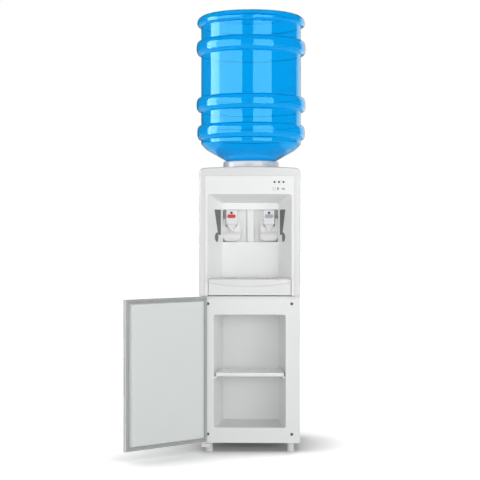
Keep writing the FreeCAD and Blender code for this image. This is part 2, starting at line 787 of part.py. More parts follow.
def mid_deck():
    """The steel deck between the cabinet and the upper part, with a front lip and a gap for the pipes."""
    body = new_body("mid_deck")
    half = inner_half - s.seat_gap
    rear = back_y - 2 * s.sheet_wall - 3 * s.seat_gap
    block(body, (-half, half), (face_y, rear), (deck_low, deck_top))
    lip_low = cabinet_top + s.seat_gap
    block(body, (-half, half), (face_y, face_y + s.sheet_wall), (lip_low, deck_top))
    lip_inset = half_width - s.sheet_lip - 1
    through = (deck_low - 1, deck_top + 1)
    for side in SIDES.values():
        corner = sorted((side * lip_inset, side * (half_width + 1)), key=float)
        block(body, corner, (case_front - 1, case_front + s.sheet_lip), through, "Pocket")
    pipe_gap = s.pump_radius + s.bridge_toe
    block(body, (-pipe_gap, pipe_gap), (rear - s.pump_radius, rear + 1), through, "Pocket")


def crown_outline(sketch, inset, low):
    """The front view of the top: straight sides and a top that bows up."""
    half = half_width - inset
    high = shoulder_height - inset
    return loop(sketch, [(-half, low), (half, low), (half, high, s.crown_rise), (-half, high)])


def crown_corner(box, inset=0.0):
    half = half_width - inset
    return lengthwise(box) and near(abs(box.XMin), half) and near(box.ZMin, shoulder_height - inset)


def top_cover():
    """A crowned shell that is open below, with a ledge round the hole for the bottle seat."""
    body = new_body("top_cover")
    pad(body, crown_outline(new_sketch(body, "XZ_Plane", case_front), 0.0, band_low), back_y - case_front)
    wall = s.mould_wall
    inside = crown_outline(new_sketch(body, "XZ_Plane", case_front + wall), wall, band_low)
    pocket(body, inside, back_y - case_front - 2 * wall)
    rounded(body, s.top_corner - wall, lambda box: crown_corner(box, wall))
    rounded(body, s.top_corner, crown_corner)
    seat_low = shoulder_height - wall
    boss = circle(new_sketch(body, "XY_Plane", seat_low - 4), 0, s.bottle_back, s.collar_radius + 6)
    pad(body, boss, s.crown_rise + 4.4)
    seat = circle(new_sketch(body, "XY_Plane", seat_low), 0, s.bottle_back, s.collar_radius + s.seat_gap)
    pocket(body, seat, 2 * s.top_corner)
    hole = circle(new_sketch(body, "XY_Plane", seat_low - 5), 0, s.bottle_back, seat_rim - 2.2)
    pocket(body, hole, 2 * s.top_corner)


def bottle_collar():
    """The ring that the bottle's shoulder rests in, with a sloping inner wall."""
    body = new_body("bottle_collar")
    sketch = new_sketch(body, "XZ_Plane", s.bottle_back)
    foot_z = shoulder_height - s.mould_wall + s.seat_gap
    outer, wall = s.collar_radius, s.collar_wall
    corners = [
        (outer, foot_z),
        (outer, collar_top - 2),
        (outer - 2, collar_top),
        (outer - wall, collar_top),
        (outer - wall - s.collar_slope, collar_top - 9),
        (outer - wall - s.collar_slope, foot_z),
    ]
    loop(sketch, corners)
    spun(body, sketch)


def water_seat():
    """The funnel and cup that take the bottle's neck, with the feed spike in the middle."""
    body = new_body("water_seat")
    sketch = new_sketch(body, "XZ_Plane", s.bottle_back)
    wall = s.mould_wall
    rim = seat_rim
    rim_z = shoulder_height - s.mould_wall + s.seat_gap
    corners = [
        (s.spike_bore, cup_low - wall - 8),
        (s.spike_radius, cup_low - wall - 8),
        (s.spike_radius, cup_low - wall),
        (s.cup_radius + wall, cup_low - wall),
        (s.cup_radius + wall, rim_z - 12),
        (rim, rim_z + 1),
        (rim, rim_z + 4),
        (rim - wall, rim_z + 4),
        (s.cup_radius, rim_z - 10),
        (s.cup_radius, cup_low),
        (s.spike_radius, cup_low),
        (s.spike_radius, spike_top - 8),
        (s.spike_bore + 1, spike_top),
        (s.spike_bore, spike_top),
    ]
    loop(sketch, corners)
    spun(body, sketch)


def fascia_frame():
    """The outer front frame: two rails and a bowed top band, hollow from behind."""
    body = new_body("fascia_frame")
    wall = s.mould_wall
    depth = case_front - s.seat_gap - front_y
    pad(body, crown_outline(new_sketch(body, "XZ_Plane", front_y), 0.0, fascia_bottom), depth)
    rounded(body, s.top_corner, crown_corner)
    low = float(fascia_bottom)
    rounded(body, s.crown_edge, lambda box: near(box.YMax, front_y) and box.ZMax > low + 1)
    opening = new_sketch(body, "XZ_Plane", front_y)
    rectangle(opening, -frame_inner, frame_inner, fascia_bottom - 1, band_low)
    pocket(body, opening, depth)
    hollow = new_sketch(body, "XZ_Plane", front_y + wall)
    for side in SIDES.values():
        rail = sorted((side * (frame_inner + wall), side * (half_width - wall)), key=float)
        rectangle(hollow, *rail, fascia_bottom + wall, band_low)
    rectangle(hollow, -frame_inner, frame_inner, band_low + wall, shoulder_height - wall)
    pocket(body, hollow, depth)


def recess_section(body, y, half, low, high):
    return rectangle(new_sketch(body, "XZ_Plane", y), -half, half, low, high)


def front_panel():
    """The inner front moulding: a flat panel round a tapering recess with a niche for two taps."""
    body = new_body("front_panel")
    wall = s.mould_wall
    half = frame_inner - s.seat_gap
    floor = recess_floor
    plate = new_sketch(body, "XZ_Plane", panel_y)
    rectangle(plate, -half, half, fascia_bottom, band_low - s.seat_gap)
    pad(body, plate, wall)
    shell = [
        recess_section(body, panel_y, recess_half + wall, floor - wall, recess_top + wall),
        recess_section(body, recess_y + wall, recess_back_half + wall, floor - wall, recess_back_top + wall),
    ]
    lofted(body, "Additive", shell)
    niche_case = (-niche_half - wall, niche_half + wall)
    block(body, niche_case, (recess_y, niche_y + wall), (niche_bottom - wall, niche_top + wall))
    void = [
        recess_section(body, panel_y, recess_half, floor, recess_top),
        recess_section(body, recess_y, recess_back_half, floor, recess_back_top),
    ]
    lofted(body, "Subtractive", void)
    block(body, (-niche_half, niche_half), (recess_y, niche_y), (niche_bottom, niche_top), "Pocket")
    rib_front = niche_y - s.rib_reach
    block(body, (-s.rib_half, s.rib_half), (rib_front, niche_y), (niche_bottom, niche_top))
    rounded(body, s.rib_reach - 1, lambda box: upright(box) and near(box.YMin, rib_front))
    apron_gap = (panel_y, panel_y + s.tray_wall + 2)
    block(body, (-recess_half, recess_half), apron_gap, (fascia_bottom, floor + 1), "Pocket")
    side_slots(body)
    holes = new_sketch(body, "XZ_Plane", panel_y)
    for i in range(3):
        circle(holes, s.led_first + i * s.led_pitch, led_height, s.led_radius + s.seat_gap / 2)
    pocket(body, holes, wall)
    shanks = new_sketch(body, "XZ_Plane", niche_y)
    for side in TAPS.values():
        circle(shanks, side * tap_side, tap_axis, s.shank_radius + s.seat_gap)
    pocket(body, shanks, wall)
    long_enough = float(s.recess_depth) / 2
    for side in SIDES.values():
        outer = side * recess_half
        rounded(
            body,
            s.recess_corner,
            lambda box: box.YLength > long_enough
            and near(box.ZMax, recess_top)
            and (near(box.XMax, outer) or near(box.XMin, outer)),
        )


def side_slots(body):
    """A slot that narrows downwards, with a round foot, through each slanting side of the recess."""
    edge = recess_y - s.seat_gap
    foot_z = slot_waist - s.keyhole_drop / 2
    straight = [
        (edge, foot_z),
        (edge, niche_top),
        (edge - s.slot_reach, niche_top),
        (edge - s.slot_waist_reach, slot_waist),
        (edge - s.slot_waist_reach, foot_z),
    ]
    for side in SIDES.values():
        start = side * (recess_back_half + s.seat_gap)
        slot = loop(new_sketch(body, "YZ_Plane", start), straight)
        pocket(body, slot, s.recess_taper, side > 0)
        keyhole = new_sketch(body, "YZ_Plane", start)
        circle(keyhole, recess_y - s.keyhole_reach, keyhole_height, s.keyhole_radius)
        pocket(body, keyhole, s.recess_taper, side > 0)


def slot_inlays():
    """A dark plate behind each side slot, along the slanting wall."""
    lean = s.recess_taper / (recess_y + s.mould_wall - panel_y)
    near_y = recess_y - 2 * s.seat_gap
    far_y = recess_y - s.slot_reach - s.seat_gap - 2
    inlays = []
    for side in SIDES.values():
        body = doc.addObject("PartDesign::Body", "inlay")
        wall_x = recess_back_half + s.mould_wall + lean * (recess_y + s.mould_wall - near_y)
        near_x = wall_x + 1.2 * s.seat_gap
        far_x = near_x + lean * (near_y - far_y)
        corners = [
            (side * near_x, near_y),
            (side * far_x, far_y),
            (side * (far_x + s.inlay_thick), far_y),
            (side * (near_x + s.inlay_thick), near_y),
        ]
        low = keyhole_height - s.keyhole_radius - 4
        pad(body, loop(new_sketch(body, "XY_Plane", low), corners), niche_top + 4 - low)
        inlays.append(body)
    gathered("slot_inlays", inlays)


def led_lenses():
    lenses = []
    for i in range(3):
        place = (s.led_first + i * s.led_pitch, panel_y - 0.6, led_height)
        lens = primitive("Cylinder", "lens", {"Radius": s.led_radius, "Height": 5.0}, place)
        lenses.append(turned(lens, (1, 0, 0), -90))
    gathered("led_lenses", lenses)


def control_board():
    lens_back = panel_y - 0.6 + 5.0
    place = (s.led_first - 12, lens_back + s.seat_gap, led_height - 14)
    sizes = {"Length": 2 * s.led_pitch + 24, "Width": 1.6, "Height": 28.0}
    finished("control_board", primitive("Box", "board", sizes, place))


# ---------------------------------------------------------------------------------------------
# Taps
# ---------------------------------------------------------------------------------------------

def tap_body(name, side):
    """A square-shouldered tap with a funnel below it, a spout and a threaded shank behind."""
    body = new_body(name)
    x = side * tap_side
    half = s.tap_width / 2
    front = recess_y - s.tap_front
    rear = niche_y - s.seat_gap
    block(body, (x - half, x + half), (front, rear), (tap_skirt, tap_top))
    rounded(body, 3.0, lambda box: near(box.YMin, front) and near(box.YMax, front))
    spout_y = front + half - 6
    spout = new_sketch(body, "XZ_Plane", spout_y)
    bind(spout, "AttachmentOffset.Base.x", x)
    corners = [
        (s.spout_bore, spout_end),
        (s.spout_radius, spout_end),
        (s.spout_radius, tap_skirt + 4),
        (s.spout_bore, tap_skirt + 4),
    ]
    loop(spout, corners)
    spun(body, spout)
    funnel_back = spout_y + s.spout_radius
    wide, narrow = s.spout_radius + 7, s.spout_radius + 0.5
    brim = new_sketch(body, "XY_Plane", tap_skirt)
    rectangle(brim, x - wide, x + wide, front + 1, funnel_back)
    tip = new_sketch(body, "XY_Plane", tap_skirt - s.funnel_depth)
    rectangle(tip, x - narrow, x + narrow, front + 3, funnel_back)
    lofted(body, "Additive", [brim, tip])
    bore = circle(new_sketch(body, "XY_Plane", spout_end), x, spout_y, s.spout_bore)
    pocket(body, bore, s.spout_length + s.funnel_depth)
    shank = circle(new_sketch(body, "XZ_Plane", rear), x, tap_axis, s.shank_radius)
    pad(body, shank, s.shank_length)
    pin = new_sketch(body, "YZ_Plane", x - half)
    circle(pin, recess_y + s.pin_back, pin_height, s.pin_radius + s.seat_gap)
    pocket(body, pin, s.tap_width)


def paddle(name, side):
    """A lever with a rounded belly, hung from two arms beside the tap."""
    body = new_body(name)
    x = side * tap_side
    half = s.paddle_width / 2
    back = recess_y + 11
    front = recess_y + 4.5
    high = pin_height + s.paddle_rise
    belly = spout_end - 2
    bulge = s.paddle_bulge
    low = paddle_bottom
    blank = rectangle(new_sketch(body, "XZ_Plane", front - bulge), x - half, x + half, low, high)
    pad(body, blank, back - front + bulge)
    rounded(body, s.paddle_corner, lambda box: lengthwise(box) and near(box.ZMin, low))
    rounded(body, s.paddle_rise - 1, lambda box: lengthwise(box) and near(box.ZMin, high))
    outside = [
        (front - bulge - 1, low - 1),
        (front, low - 1),
        (front, low, -bulge),
        (front, belly),
        (front, high + 1),
        (front - bulge - 1, high + 1),
    ]
    pocket(body, loop(new_sketch(body, "YZ_Plane", x - half), outside), s.paddle_width)
    gap_half = s.tap_width / 2 + 2 * s.seat_gap
    gap = new_sketch(body, "XZ_Plane", front - bulge)
    rectangle(gap, x - gap_half, x + gap_half, tap_skirt - s.funnel_depth / 2, high + 1)
    pocket(body, gap, back - front + bulge)
    pin = new_sketch(body, "YZ_Plane", x - half)
    circle(pin, recess_y + s.pin_back, pin_height, s.pin_radius + s.pin_play)
    pocket(body, pin, s.paddle_width)


def tap_pins():
    pins = []
    for side in TAPS.values():
        place = (side * tap_side - s.paddle_width / 2, recess_y + s.pin_back, pin_height)
        pin = primitive("Cylinder", "pin", {"Radius": s.pin_radius, "Height": s.paddle_width}, place)
        pins.append(turned(pin, (0, 1, 0), 90))
    gathered("tap_pins", pins)


def tap_label(name, side):
    body = new_body(name)
    x = side * tap_side
    thick = 1.2
    sketch = new_sketch(body, "XZ_Plane", recess_y - s.tap_front - thick)
    half_high = s.label_height / 2
    lying_stadium(sketch, x - s.label_half, x + s.label_half, label_low + half_high, half_high)
    pad(body, sketch, thick)


def tap_studs():
    studs = []
    for side in TAPS.values():
        place = (side * tap_side, recess_y - s.tap_front, stud_height)
        stud = primitive("Cylinder", "stud", {"Radius": s.stud_radius, "Height": 1.4}, place)
        studs.append(turned(stud, (1, 0, 0), 90))
    gathered("tap_studs", studs)


def tap_nuts():
    nuts = []
    for side in TAPS.values():
        place = (side * tap_side, niche_y + s.mould_wall + s.seat_gap, tap_axis)
        hexagon = primitive("Prism", "hexagon", {"Circumradius": s.nut_radius, "Height": s.nut_height}, place)
        turned(hexagon, (1, 0, 0), -90)
        hole = primitive("Cylinder", "hole", {"Radius": s.shank_radius + 0.1, "Height": s.nut_height}, place)
        turned(hole, (1, 0, 0), -90)
        nuts.append(cut("nut", hexagon, hole))
    gathered("tap_nuts", nuts)


# ---------------------------------------------------------------------------------------------
# Drip tray
# ---------------------------------------------------------------------------------------------

def bay_half(y):
    """Half width of the tray bay at a depth."""
    return recess_half - (recess_half - recess_back_half) * (y - panel_y) / (recess_y - panel_y)


def drip_tray():
    """A tapering tray with a flush front and a lip that bows out and hangs down in its middle."""
    body = new_body("drip_tray")
    wall = s.tray_wall
    apron_back = panel_y + wall + 0.5
    front, back = apron_back, recess_y - 3
    play = 2.0
    low = recess_floor + s.seat_gap
    lofted(body, "Additive", [
        recess_section(body, front, bay_half(front) - play, low, tray_rim),
        recess_section(body, back, bay_half(back) - play, low, tray_rim),
    ])
    block(body, (-tray_half, tray_half), (panel_y, apron_back), (fascia_bottom + 1.3, tray_front_top))
    lip_low = lip_top - s.lip_drop - s.lip_sag
    lip_front = front_y - s.lip_reach
    shelf_back = panel_y + 8
    corners = [
        (-tray_half, lip_front, s.lip_bow),
        (tray_half, lip_front),
        (tray_half, panel_y + wall),
        (bay_half(shelf_back) - play, shelf_back),
        (play - bay_half(shelf_back), shelf_back),
        (-tray_half, panel_y + wall),
    ]
    pad(body, loop(new_sketch(body, "XY_Plane", lip_low), corners), lip_top - lip_low)
    smile = [
        (-tray_half - 1, lip_low - 1),
        (tray_half + 1, lip_low - 1),
        (tray_half + 1, lip_top - s.lip_drop, -s.lip_sag),
        (-tray_half - 1, lip_top - s.lip_drop),
    ]
    pocket(body, loop(new_sketch(body, "XZ_Plane", panel_y), smile), s.lip_reach + s.lip_bow + 5, False)
    lofted(body, "Subtractive", [
        recess_section(body, front + wall, bay_half(front + wall) - play - wall, low + wall, tray_rim),
        recess_section(body, back - wall, bay_half(back - wall) - play - wall, low + wall, tray_rim),
    ])
    rounded(body, 3.0, lambda box: near(box.YMin, lip_front - s.lip_bow, 0.2) and box.XLength > 200)
    lip_y = float(front_y) - 2
    rounded(body, 3.0, lambda box: upright(box) and near(abs(box.XMin), tray_half) and box.YMin < lip_y)


def drip_grille():
    body = new_body("drip_grille")
    front, back = panel_y + 8 + s.seat_gap, recess_y - 3
    inset = 2.5
    corners = [
        (inset - bay_half(front), front),
        (bay_half(front) - inset, front),
        (bay_half(back) - inset, back),
        (inset - bay_half(back), back),
    ]
    plate_low = tray_rim + s.seat_gap
    pad(body, loop(new_sketch(body, "XY_Plane", plate_low), corners), s.grille_thick)
    first_x = -(s.grille_slots - 1) / 2 * s.grille_pitch
    slot = stadium(new_sketch(body, "XY_Plane", plate_low), first_x, sized(2.2), front + 6, back - 5)
    row_of(body, pocket(body, slot, s.grille_thick), "X", s.grille_pitch, s.grille_slots)


# ---------------------------------------------------------------------------------------------
# Storage cabinet
# ---------------------------------------------------------------------------------------------

def liner_side(y):
    """Half width of the cabinet at a depth."""
    return opening_half - s.liner_taper * (y - face_y) / s.liner_depth


def liner_sections(body, grow, depth):
    """Front and back outline of the cabinet, grown outwards."""
    sections = []
    for y, inward, drop in ((face_y, 0.0, 0.0), (face_y + depth, s.liner_taper, s.liner_drop)):
        half = opening_half - inward + grow
        sections.append(recess_section(body, y, half, opening_low - grow, opening_high - drop + grow))
    return sections


def cabinet_liner():
    """The moulded inside of the cabinet with its front flange and two ledges for the shelf."""
    body = new_body("cabinet_liner")
    half = half_width - 0.5
    flange = new_sketch(body, "XZ_Plane", face_y)
    rectangle(flange, -half, half, flange_bottom, cabinet_top)
    pad(body, flange, s.mould_wall)
    lofted(body, "Additive", liner_sections(body, s.liner_wall, s.liner_depth + s.liner_wall))
    lofted(body, "Subtractive", liner_sections(body, sized(0.0), s.liner_depth))
    side, low, high = float(opening_half) + 0.1, float(opening_low) - 0.1, float(opening_high) + 0.1
    deep = float(s.liner_depth) / 2
    rounded(
        body,
        s.opening_corner,
        lambda box: box.YLength > deep
        and max(abs(box.XMin), abs(box.XMax)) < side
        and box.ZMin > low
        and box.ZMax < high,
    )
    ledge_front, ledge_back = face_y + 6, face_y + s.shelf_front + s.shelf_depth + 4
    for side in SIDES.values():
        corners = [
            (side * (liner_side(ledge_front) + 1), ledge_front),
            (side * (liner_side(ledge_back) + 1), ledge_back),
            (side * (liner_side(ledge_back) - s.ledge_reach), ledge_back),
            (side * (liner_side(ledge_front) - s.ledge_reach), ledge_front),
        ]
        pad(body, loop(new_sketch(body, "XY_Plane", ledge_top - s.ledge_thick), corners), s.ledge_thick)
    holes = new_sketch(body, "XZ_Plane", face_y)
    for side in SIDES.values():
        for height in (plug_low, plug_high):
            circle(holes, side * plug_side, height, s.plug_radius)
    pocket(body, holes, s.mould_wall)


def liner_plugs():
    plugs = []
    for side in SIDES.values():
        for height in (plug_low, plug_high):
            place = (side * plug_side, face_y + s.seat_gap, height)
            sizes = {"Radius": s.plug_radius - 0.1, "Height": s.mould_wall - s.seat_gap}
            plugs.append(turned(primitive("Cylinder", "plug", sizes, place), (1, 0, 0), -90))
    gathered("liner_plugs", plugs)


def cabinet_foam():
    body = new_body("cabinet_foam")
    half = inner_half - s.seat_gap - s.sheet_wall - s.seat_gap
    front = case_front + s.sheet_wall * 3 + s.seat_gap * 2
    back = s.pump_back - s.pump_radius - s.foam_gap
    block(body, (-half, half), (front, back), (base_top + s.seat_gap, cabinet_top - 1))
    clear = s.liner_wall + s.seat_gap
    lofted(body, "Subtractive", liner_sections(body, clear, s.liner_depth + clear))


def shelf_corners(inset):
    """Plan view of the shelf: as wide as the narrowing cabinet, moved in by inset."""
    front = face_y + s.shelf_front + inset
    back = face_y + s.shelf_front + s.shelf_depth - inset
    play = s.shelf_play + inset
    return [
        (play - liner_side(front), front),
        (liner_side(front) - play, front),
        (liner_side(back) - play, back),
        (play - liner_side(back), back),
    ]


def shelf():
    """A perforated plate with its edges turned down all round."""
    body = new_body("shelf")
    low = ledge_top + s.seat_gap
    front = face_y + s.shelf_front
    pad(body, loop(new_sketch(body, "XY_Plane", low), shelf_corners(sized(0.0))), s.shelf_lip)
    rounded(body, s.shelf_corner, lambda box: upright(box) and near(box.YMin, front))
    hollow = loop(new_sketch(body, "XY_Plane", low), shelf_corners(s.shelf_thick))
    pocket(body, hollow, s.shelf_lip - s.shelf_thick)
    first_x = -(s.shelf_holes - 1) / 2 * s.shelf_pitch
    for row in range(3):
        row_y = front + (row + 1) * s.shelf_pitch * 1.4
        hole = circle(new_sketch(body, "XY_Plane", low), first_x, row_y, s.shelf_hole)
        row_of(body, pocket(body, hole, s.shelf_lip), "X", s.shelf_pitch, s.shelf_holes)
    rounded(body, 1.2, lambda box: near(box.ZMin, low + s.shelf_lip) and near(box.YMin, front))


# ---------------------------------------------------------------------------------------------
# Hinges and door
# ---------------------------------------------------------------------------------------------

def hinge_pin_on(body, z_from, length, up):
    sketch = circle(new_sketch(body, "XY_Plane", z_from), pivot_x, pivot_y, s.hinge_pin)
    return pad(body, sketch, length, up)


def upper_hinge():
    body = new_body("upper_hinge")
    low = deck_top + s.seat_gap
    left, right = pivot_x - s.hinge_margin, s.sheet_lip + 18 - half_width
    behind_lip = s.seat_gap + s.sheet_lip - half_width
    front, back = pivot_y - s.hinge_margin, face_y + s.hinge_reach
    corners = [
        (left, front),
        (right, front),
        (right, back),
        (behind_lip, back),
        (behind_lip, case_front - 1),
        (left, case_front - 1),
    ]
    pad(body, loop(new_sketch(body, "XY_Plane", low), corners), s.deck_gap)
    rounded(body, s.hinge_margin - 1, lambda box: upright(box) and near(box.YMin, front))
    hinge_pin_on(body, low, low - door_high + s.hinge_grip - 1, False)


def lower_hinge():
    """A pressed bracket under the base with a turned-down front edge and the lower pin."""
    body = new_body("lower_hinge")
    high = flange_bottom - s.seat_gap
    thick = s.bracket_thick
    left, right = pivot_x - s.hinge_margin, 4 - foot_side
    front, bend = pivot_y - s.hinge_margin, face_y - 2
    beside_foot = -foot_side - s.foot_radius - 0.5
    back = bend + s.hinge_reach
    corners = [
        (left, front),
        (right, front),
        (right, bend),
        (beside_foot, bend),
        (beside_foot, back),
        (left, back),
    ]
    pad(body, loop(new_sketch(body, "XY_Plane", high - thick), corners), thick)
    block(body, (left, beside_foot), (case_front + 4, back), (high, s.foot_rise - s.seat_gap))
    block(body, (left, right), (front, front + s.mould_wall), (high - 9, high - thick))
    hinge_pin_on(body, high, door_low - high + s.hinge_grip - 1, True)


def door_section(body, inset, skin, low):
    """Plan view of the door: a front that bows out and a flat inside."""
    half = door_side - inset
    edge = front_y + s.door_crown + skin
    corners = [(-half, edge, s.door_crown), (half, edge), (half, door_inside), (-half, door_inside)]
    return loop(new_sketch(body, "XY_Plane", low), corners)


def door_outer():
    body = new_body("door_outer")
    pad(body, door_section(body, sized(0.0), sized(0.0), door_low), door_high - door_low)
    edge = front_y + s.door_crown
    rounded(body, s.door_edge, lambda box: upright(box) and near(box.YMin, edge))
    inside = door_high - door_low - 2 * s.door_rim
    pocket(body, door_section(body, s.door_land, s.door_skin, door_low + s.door_rim), inside)
    middle = (door_low + door_high) / 2
    groove_x = door_side - s.grip_depth
    groove = (middle - s.grip_length / 2, middle + s.grip_length / 2)
    block(body, (groove_x, door_side + 1), (door_inside - 9, door_inside - 3), groove, "Pocket")
    rounded(body, s.grip_depth / 2, lambda box: upright(box) and near(box.XMin, groove_x))
    for start, up in ((door_low, True), (door_high, False)):
        sketch = new_sketch(body, "XY_Plane", start)
        hole = circle(sketch, pivot_x, pivot_y, s.hinge_pin + s.bush_wall + s.pin_play)
        pocket(body, hole, s.hinge_grip, up)


def door_foam():
    body = new_body("door_foam")
    low = door_low + s.door_rim + s.seat_gap
    high = door_high - s.door_rim - s.seat_gap
    pad(body, door_section(body, s.door_land + s.seat_gap, s.door_skin + s.seat_gap, low), high - low)
    plate = s.mould_wall + s.seat_gap
    block(body, (-door_side, door_side), (door_inside - plate, door_inside + 1), (low, high), "Pocket")


def door_inner():
    body = new_body("door_inner")
    half = door_side - s.door_land - s.seat_gap
    low = door_low + s.door_rim + s.seat_gap
    high = door_high - s.door_rim - s.seat_gap
    block(body, (-half, half), (door_inside - s.mould_wall, door_inside), (low, high))
    inset = s.gasket_width + s.seat_gap
    raised = half - 1
    top = door_inside + s.plateau_rise
    block(body, (-raised, raised), (door_inside, top), (gasket_low + inset, gasket_high - inset))
    rounded(body, s.plateau_rise - 0.5, lambda box: near(box.YMin, top) and near(box.YMax, top))


def door_gasket():
    """A soft ring with a flat foot and a raised bead that meets the cabinet's face."""
    body = new_body("door_gasket")
    foot_y = door_inside + s.seat_gap
    foot_sketch = new_sketch(body, "XZ_Plane", foot_y)
    side = gasket_side
    ring_of(foot_sketch, -side, side, gasket_low, gasket_high, s.gasket_width)
    pad(body, foot_sketch, s.gasket_foot)
    bead_y = foot_y + s.gasket_foot
    top = face_y - s.gasket_air
    bead = new_sketch(body, "XZ_Plane", bead_y)
    inset = s.bead_inset
    ring_of(bead, inset - side, side - inset, gasket_low + inset, gasket_high - inset, s.gasket_bead)
    pad(body, bead, top - bead_y)
    rounded(body, s.gasket_bead / 3, lambda box: near(box.YMin, top) and near(box.YMax, top))


def door_bushes():
    bushes = []
    outer = s.hinge_pin + s.bush_wall
    for height in (door_low, door_high - s.hinge_grip):
        place = (pivot_x, pivot_y, height)
        sleeve = primitive("Cylinder", "sleeve", {"Radius": outer, "Height": s.hinge_grip}, place)
        inner = s.hinge_pin + s.pin_play
        bore = primitive("Cylinder", "bore", {"Radius": inner, "Height": s.hinge_grip}, place)
        bushes.append(cut("bush", sleeve, bore))
    gathered("door_bushes", bushes)


# ---------------------------------------------------------------------------------------------
# Bottle
# ---------------------------------------------------------------------------------------------

def bottle_outline(shrink):
    """Radius and height of the bottle's wall from its mouth up, moved inwards by shrink."""
    wall = s.bottle_wall_radius - shrink
    middle_ring = s.bottle_radius - shrink
    end_ring = middle_ring - s.end_ring_inset
    corners = [
        (s.neck_radius - shrink, neck_end),
        (s.neck_radius - shrink, bottle_throat - 10 + shrink),
        (s.throat_radius - shrink, bottle_throat + shrink),
        (s.bottle_hip - shrink, bottle_knee + shrink),
        (wall, bottle_shoulder + shrink),
    ]
    for low, ring in ((ring_low, end_ring), (ring_second, middle_ring), (ring_third, middle_ring)):
        corners.append((wall, low))
        corners.append((ring, low + s.ring_flank))
        corners.append((ring, low + s.ring_height - s.ring_flank))
        corners.append((wall, low + s.ring_height))
    corners.append((wall, ring_base))
    corners.append((end_ring, ring_base + s.ring_flank))
    corners.append((end_ring, bottle_top - shrink))
    return corners


def ring_edges(body, radius, radii, low, high):
    """Round the level edges of the given radii between two heights."""
    sizes = [float(value) for value in radii]
    low, high = float(low), float(high)
    rounded(
        body,
        radius,
        lambda box: box.ZLength < 0.01
        and low < box.ZMin < high
        and any(near(box.XMax, value) for value in sizes),
    )


def bottle():
    body = new_body("bottle")
    inner = bottle_outline(s.bottle_wall)
    axis_end = (sized(0.0), bottle_top - s.bottle_wall), (sized(0.0), bottle_top)
    corners = inner + list(axis_end) + bottle_outline(sized(0.0))[::-1]
    spun(body, loop(new_sketch(body, "XZ_Plane", s.bottle_back), corners))
    first, last = ring_low - 1, bottle_top - s.base_ring_height / 2
    for shrink in (s.bottle_wall, sized(0.0)):
        ring = s.bottle_radius - shrink
        end_ring = ring - s.end_ring_inset
        ring_edges(body, s.ring_round - shrink, (ring, end_ring), first, last)
        ring_edges(body, s.ring_hollow + shrink, (s.bottle_wall_radius - shrink,), first, last)
        ring_edges(body, s.base_round - shrink, (end_ring,), last, bottle_top + 1)


def bottle_cap():
    body = new_body("bottle_cap")
    inner = s.neck_radius + 0.1
    outer = inner + s.cap_wall
    low = neck_end - s.cap_wall - s.seat_gap / 3
    corners = [
        (s.spike_radius + 0.6, low),
        (outer, low),
        (outer, low + s.cap_height),
        (inner, low + s.cap_height),
        (inner, low + s.cap_wall),
        (s.spike_radius + 0.6, low + s.cap_wall),
    ]
    spun(body, loop(new_sketch(body, "XZ_Plane", s.bottle_back), corners))


# ---------------------------------------------------------------------------------------------
# Water and cooling, inside
# ---------------------------------------------------------------------------------------------

def drum(body, axis_y, radius, low, high, wall):
    """A closed round vessel."""
    zero = sized(0.0)
    corners = [
        (zero, low),
        (radius, low),
        (radius, high),
        (zero, high),
        (zero, high - wall),
        (radius - wall, high - wall),
        (radius - wall, low + wall),
        (zero, low + wall),
    ]
    return spun(body, loop(new_sketch(body, "XZ_Plane", axis_y), corners))


def fill_hole(body, radius, low, length):
    hole = circle(new_sketch(body, "XY_Plane", low), 0, s.bottle_back, radius)
    return pocket(body, hole, length)


def cold_tank():
    body = new_body("cold_tank")
    drum(body, s.tank_back, s.tank_radius, tank_low, tank_high, s.sheet_wall)
    fill_hole(body, s.spike_bore, tank_high - s.sheet_wall, s.sheet_wall)


def cold_tank_foam():
    body = new_body("cold_tank_foam")
    thick = s.tank_foam
    wall = thick - s.seat_gap
    drum(body, s.tank_back, s.tank_radius + thick, tank_low - thick, tank_high + thick, wall)
    fill_hole(body, s.spike_radius + s.seat_gap, tank_high, thick)
    hole = circle(new_sketch(body, "XZ_Plane", recess_y), tap_side, tap_axis, s.pipe_radius + s.seat_gap)
    pocket(body, hole, s.tank_back - recess_y)


def tank_bridge():
    """A sheet bent like a table that carries the cold tank over the hot one."""
    body = new_body("tank_bridge")
    half = s.tank_radius + s.tank_foam + 6
    low = deck_top + s.seat_gap
    high = tank_low - s.tank_foam - s.seat_gap
    wall = s.bridge_wall
    toe = s.bridge_toe
    corners = [
        (-half - toe, low),
        (-half + wall, low),
        (-half + wall, high - wall),
        (half - wall, high - wall),
        (half - wall, low),
        (half + toe, low),
        (half + toe, low + wall),
        (half, low + wall),
        (half, high),
        (-half, high),
        (-half, low + wall),
        (-half - toe, low + wall),
    ]
    front = s.tank_back - s.bridge_depth / 2
    pad(body, loop(new_sketch(body, "XZ_Plane", front), corners), s.bridge_depth)


def hot_tank():
    body = new_body("hot_tank")
    drum(body, s.tank_back, s.hot_radius, deck_top + s.seat_gap, hot_high, s.sheet_wall)


def fill_pipe():
    low = tank_high + s.seat_gap
    high = cup_low - s.mould_wall - 8 - s.seat_gap
    place = (0, s.bottle_back, low)
    outside = primitive("Cylinder", "outside", {"Radius": s.spike_radius, "Height": high - low}, place)
    bore = primitive("Cylinder", "bore", {"Radius": s.spike_bore, "Height": high - low}, place)
    finished("fill_pipe", cut("fill_pipe", outside, bore))


def at(x, y, z):
    return Vector(float(x), float(y), float(z))


def hollow_tube(points, bend, radius, wall):
    return tube(points, bend, radius).cut(tube(points, bend, radius - wall))


